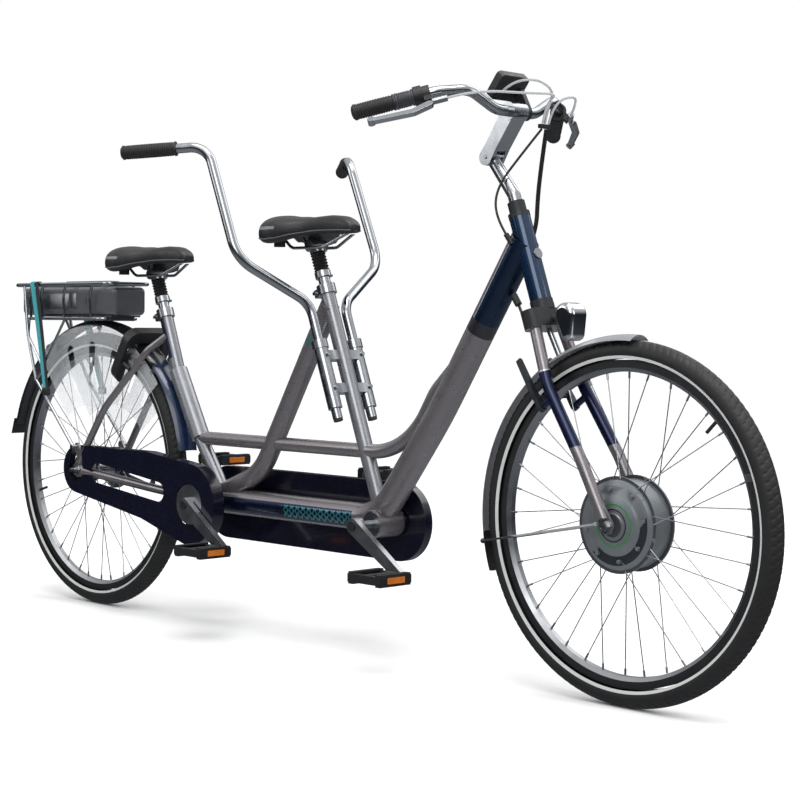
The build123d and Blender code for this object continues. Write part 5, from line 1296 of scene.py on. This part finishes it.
@dataclass
class SeatMount:
    """Seat post, its rubber bellows and the saddle on top."""

    end: str
    collar: Vector
    folds: int = 6
    length: float = 45.4

    def build(self) -> None:
        """Dress the post and make the bellows and the saddle."""
        dress(self.end + "_seatpost", self.end + "_seatpost", (POLISHED,), bevel=0.8)
        start = self.collar + plan.seat_up * (30.3 * MM)
        profile = [(11.5, 0.0), (15.4, 0.0)]
        for step in range(self.folds * 8 + 1):
            share = step / (self.folds * 8)
            swell = 0.5 - 0.5 * math.cos(2 * math.pi * self.folds * share)
            profile.append((14.2 + 3.2 * swell, 0.4 + (self.length - 0.8) * share))
        profile += [(15.4, self.length), (11.5, self.length)]
        mesh = mesh_from(self.end + "_bellows", *lathe(profile, start, plan.seat_up, 64, closed=True))
        piece = finish_object(self.end + "_bellows", mesh, (BELLOWS,), self.end + "_seatpost",
                              replaces=(self.end + "_seat_boot",))
        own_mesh(piece)
        Saddle(self.end, self.collar).build()


# ------------------------------------------------------------------ drivetrain
@dataclass
class Drivetrain:
    """Cranks, rings, chains, their cases and the pedals."""

    def build(self) -> None:
        """Dress the parts that turn and the parts that cover them."""
        for end in ("front", "rear"):
            body = end + "_crankset"
            dress(body, body, (SATIN, CHROME, BLACK_NYLON), (
                lambda c, s, m: s.x > 90 and s.x < 138 and s.z > 90 and s.y < 40,
                lambda c, s, m: s.y < 4 and s.x < 30), 1.2)
            for side in ("right", "left"):
                self.pedal(f"{end}_{side}_pedal")
        dress("drive_chain_case", "frame", (NAVY_ABS,), bevel=1.2)
        dress("timing_chain_case", "frame", (NAVY_ABS,), bevel=2.0)
        dress("chains", "frame", (CHAIN_STEEL,), bevel=0.5)

    def pedal(self, node: str) -> None:
        """Dress a pedal: steel axle, nylon body, rubber treads and amber reflectors."""
        dress(node, node, (BLACK_NYLON, STEEL, GRIP_RUBBER, AMBER), (
            lambda c, s, m: s.x < 16 and s.z > 12 and s.y > 80,
            lambda c, s, m: s.z < 5,
            lambda c, s, m: s.x < 4), 0.8)


# ------------------------------------------------------------------ rear guards, carrier and battery
@dataclass
class RearEnd:
    """Rear guard, coat guards, ring lock, carrier, straps and battery."""

    def build(self) -> None:
        """Dress the guards and the carrier and make the straps."""
        dress("rear_mudguard", "frame", (REAR_GUARD, GRIP_RUBBER), (lambda c, s, m: s.x < 60,), 0.5)
        dress("coat_guards", "frame", (COAT_PANEL, BLACK_NYLON), (lambda c, s, m: s.x < 40,), 0.3)
        dress("ring_lock", "frame", (BLACK_NYLON, STEEL), (lambda c, s, m: s.x < 24 and s.y < 24,), 1.4)
        dress("carrier", "frame", (POLISHED, GREY_NYLON), (lambda c, s, m: s.z < 14,), 0.4)
        dress("battery", "battery", (BATTERY_SILVER, GREY_NYLON, STEEL), (
            lambda c, s, m: s.x < 160, lambda c, s, m: s.y < 12), 0.6)
        self.inlays()
        self.straps()

    def inlays(self) -> None:
        """Set two flat panels with softened edges, a long one and a short one, on each flank of the battery.
        """
        panels = []
        for side in (-1, 1):
            for x, length in ((-148, 150), (-54, 26)):
                panels.append(rounded_box(plan.at(x, side * 49.9, 791), (length, 40, 1.6), Vector((1, 0, 0)),
                                          SIDEWAYS * side, 6.0))
        mesh = mesh_from("battery_side_panels", *merge(panels))
        finish_object("battery_side_panels", mesh, (SATIN,), "battery")

    def straps(self) -> None:
        """Make the two webbing straps a side, from over the rail down to their hook."""
        kinds = ((-214.0, 17.0, TEAL_WEBBING, "teal"), (-193.0, 13.0, BLACK_WEBBING, "black"))
        for side, hand in ((-1, "right"), (1, "left")):
            for x, width, finish, colour in kinds:
                name = f"{hand}_{colour}_strap"
                line = [(x, 60.0, 841.8), (x, 66.0, 842.2), (x + 0.3, 70.6, 841.2), (x + 1.0, 72.6, 837.5)]
                low_x = -126 + (x + 214) * 0.4
                for k in range(1, 17):
                    t = k / 16
                    line.append((x + 1 + (low_x - x - 1) * t, 72.6 + 16.4 * t - 1.6 * math.sin(math.pi * t),
                                 837.5 - 277.5 * t))
                mesh = mesh_from(name, *self.ribbon([Vector(p) for p in line], side, width, 2.0))
                finish_object(name, mesh, (finish,), "frame", bevel=0.4, replaces=("carrier_straps",))
        hooks = [rounded_box(plan.at(-122, 89.0 * side, 553), (34, 20, 4.0), Vector((1, 0, 0)),
                             SIDEWAYS * side, 4.0) for side in (-1, 1)]
        finish_object("strap_hooks", mesh_from("strap_hooks", *merge(hooks)), (BLACK_NYLON,), "frame",
                      replaces=("carrier_straps",))

    def ribbon(self, line: list[Vector], side: int, width: float, thick: float
               ) -> tuple[list[Vector], list[tuple[int, ...]]]:
        """Flat band along a line, its width lying along the bicycle.

        Args:
            line: points in mm, on the left side.
            side: -1 for the right side, +1 for the left.
            width: the band's width in mm.
            thick: its thickness in mm.

        Returns:
            Points and faces.
        """
        rings = []
        for index, point in enumerate(line):
            before, after = line[max(0, index - 1)], line[min(len(line) - 1, index + 1)]
            along = (after - before).normalized()
            across = (Vector((1, 0, 0)) - along * along.x).normalized()
            out = along.cross(across)
            corners = []
            for u, v in ((-0.5, -0.5), (-0.25, -0.62), (0, -0.66), (0.25, -0.62), (0.5, -0.5),
                         (0.5, 0.5), (0.25, 0.62), (0, 0.66), (-0.25, 0.62), (-0.5, 0.5)):
                p = point + across * (u * width) + out * (v * thick)
                corners.append(plan.at(p.x, p.y * side, p.z))
            rings.append(corners)
        return loft(rings)


@dataclass
class StokerBars:
    """The two bars for the rear rider's hands."""

    def build(self) -> None:
        """Dress each bar and give it a ribbed grip."""
        for side, hand in ((-1, "right"), (1, "left")):
            node = hand + "_stoker_bar"
            end, bend = Vector((562, 334 * side, 1117)), Vector((716, 214 * side, 1131))
            heading = (bend - end).normalized()
            dress(node, node, (POLISHED, BLACK_NYLON), (lambda c, s, m: s.length < 80,), 0.4,
                  keep=lambda c, s, m: not (80 < s.length < 200 or (c.x < end.x + 2 and s.length < 60)))
            start = end + heading * 125.0
            Grip(hand + "_stoker_grip_ribbed", node, (node,), plan.at(*start), plan.at(*end)).dress()


# ------------------------------------------------------------------ studio
@dataclass
class Studio:
    """Pale floor, soft lights and the camera."""

    place: tuple[float, float, float] = (3.0836, -2.7456, 0.7310)
    yaw: float = -45.773
    pitch: float = -2.307
    roll: float = 0.5
    lens: float = 81.64

    def build(self) -> None:
        """Set the floor, the light and the camera."""
        self.floor()
        self.sky()
        for place, size, power in (((2.6, -3.2, 3.2), 2.6, 55.0), ((-2.6, -3.4, 2.6), 2.4, 35.0),
                                   ((0.4, 2.8, 3.6), 3.0, 45.0), ((3.8, 1.2, 2.0), 1.6, 15.0)):
            self.softbox(place, size, power)
        self.daylight()
        data = bpy.data.cameras.new("studio_camera")
        data.lens = self.lens
        data.sensor_width = 36.0
        data.clip_end = 200.0
        camera = bpy.data.objects.new("studio_camera", data)
        yaw, pitch = math.radians(self.yaw), math.radians(self.pitch)
        ahead = Vector((math.cos(pitch) * math.sin(yaw), math.cos(pitch) * math.cos(yaw), math.sin(pitch)))
        turned = ahead.to_track_quat("-Z", "Y").to_matrix().to_4x4()
        camera.matrix_world = (Matrix.Translation(self.place) @ turned
                               @ Matrix.Rotation(math.radians(self.roll), 4, "Z"))
        bpy.context.scene.collection.objects.link(camera)
        bpy.context.scene.camera = camera
        bpy.context.scene.view_settings.view_transform = "Standard"

    def daylight(self) -> None:
        """Light the whole floor evenly from above, with a broad soft sun."""
        data = bpy.data.lights.new("overhead", "SUN")
        data.energy = 1.9
        data.angle = math.radians(36.0)
        lamp = bpy.data.objects.new("overhead", data)
        lamp.rotation_euler = (math.radians(8.0), math.radians(12.0), 0.0)
        bpy.context.scene.collection.objects.link(lamp)

    def floor(self) -> None:
        """Lay a wide pale floor."""
        mesh = bpy.data.meshes.new("studio_floor")
        half = 40.0
        mesh.from_pydata([(-half, -half, 0), (half, -half, 0), (half, half, 0), (-half, half, 0)], [],
                         [(0, 1, 2, 3)])
        piece = bpy.data.objects.new("studio_floor", mesh)
        bpy.context.scene.collection.objects.link(piece)
        mesh.materials.append(Finish("painted_board_floor", "#f4f4f4", "#efefef", 0.7, relief_mm=3.0,
                                     depth_mm=0.02, tint_mm=400.0).material())
        piece.visible_glossy = False

    def sky(self) -> None:
        """Light everything from a pale surround with a darker band, for the metal to mirror."""
        world = bpy.data.worlds.new("studio_surround")
        bpy.context.scene.world = world
        world.use_nodes = True
        tree = world.node_tree
        tree.nodes.clear()
        heading = add_node(tree, "ShaderNodeTexCoord").outputs["Generated"]
        parted = add_node(tree, "ShaderNodeSeparateXYZ", {"Vector": heading})
        height = add_node(tree, "ShaderNodeMapRange", {"Value": parted.outputs["Z"], "From Min": -1.0})
        ramp = add_node(tree, "ShaderNodeValToRGB", {"Fac": height.outputs["Result"]})
        stops = ramp.color_ramp.elements
        stops[0].position, stops[0].color = 0.0, linear("#b0b4b8")
        stops[1].position, stops[1].color = 0.80, linear("#ffffff")
        for position, shade in ((0.30, "#8b9095"), (0.44, "#2a2d33"), (0.53, "#26292e"), (0.60, "#5d6168"),
                                (0.67, "#c3c6ca")):
            band = stops.new(position)
            band.color = linear(shade)
        lit = add_node(tree, "ShaderNodeBackground", {"Color": ramp.outputs["Color"], "Strength": 0.75})
        plain = add_node(tree, "ShaderNodeBackground", {"Color": linear("#ffffff"), "Strength": 1.0})
        path = add_node(tree, "ShaderNodeLightPath")
        mixed = add_node(tree, "ShaderNodeMixShader", {0: path.outputs["Is Camera Ray"],
                                                       1: lit.outputs["Background"],
                                                       2: plain.outputs["Background"]})
        add_node(tree, "ShaderNodeOutputWorld", {"Surface": mixed.outputs["Shader"]})

    def softbox(self, place: Point, size: float, power: float) -> None:
        """Hang a square soft light that faces the middle of the bicycle."""
        data = bpy.data.lights.new("softbox", "AREA")
        data.size = size
        data.energy = power
        lamp = bpy.data.objects.new("softbox", data)
        lamp.location = place
        lamp.rotation_euler = (Vector((0, 0, 0.6)) - Vector(place)).to_track_quat("-Z", "Y").to_euler()
        bpy.context.scene.collection.objects.link(lamp)


def main() -> None:
    """Build every sub-assembly and the studio."""
    logging.basicConfig(level=logging.INFO, format="%(name)s %(message)s")
    assemblies = (Wheel("front", plan.front_hub), Wheel("rear", plan.rear_hub), Hubs(), FrameTubes(), Fork(),
                  Handlebar(), Cables(), SeatMount("front", plan.collar("front")),
                  SeatMount("rear", plan.collar("rear")), Drivetrain(), StokerBars(), RearEnd(), Studio())
    for assembly in assemblies:
        log.info("building %s", type(assembly).__name__)
        assembly.build()


if __name__ == "__main__":
    main()
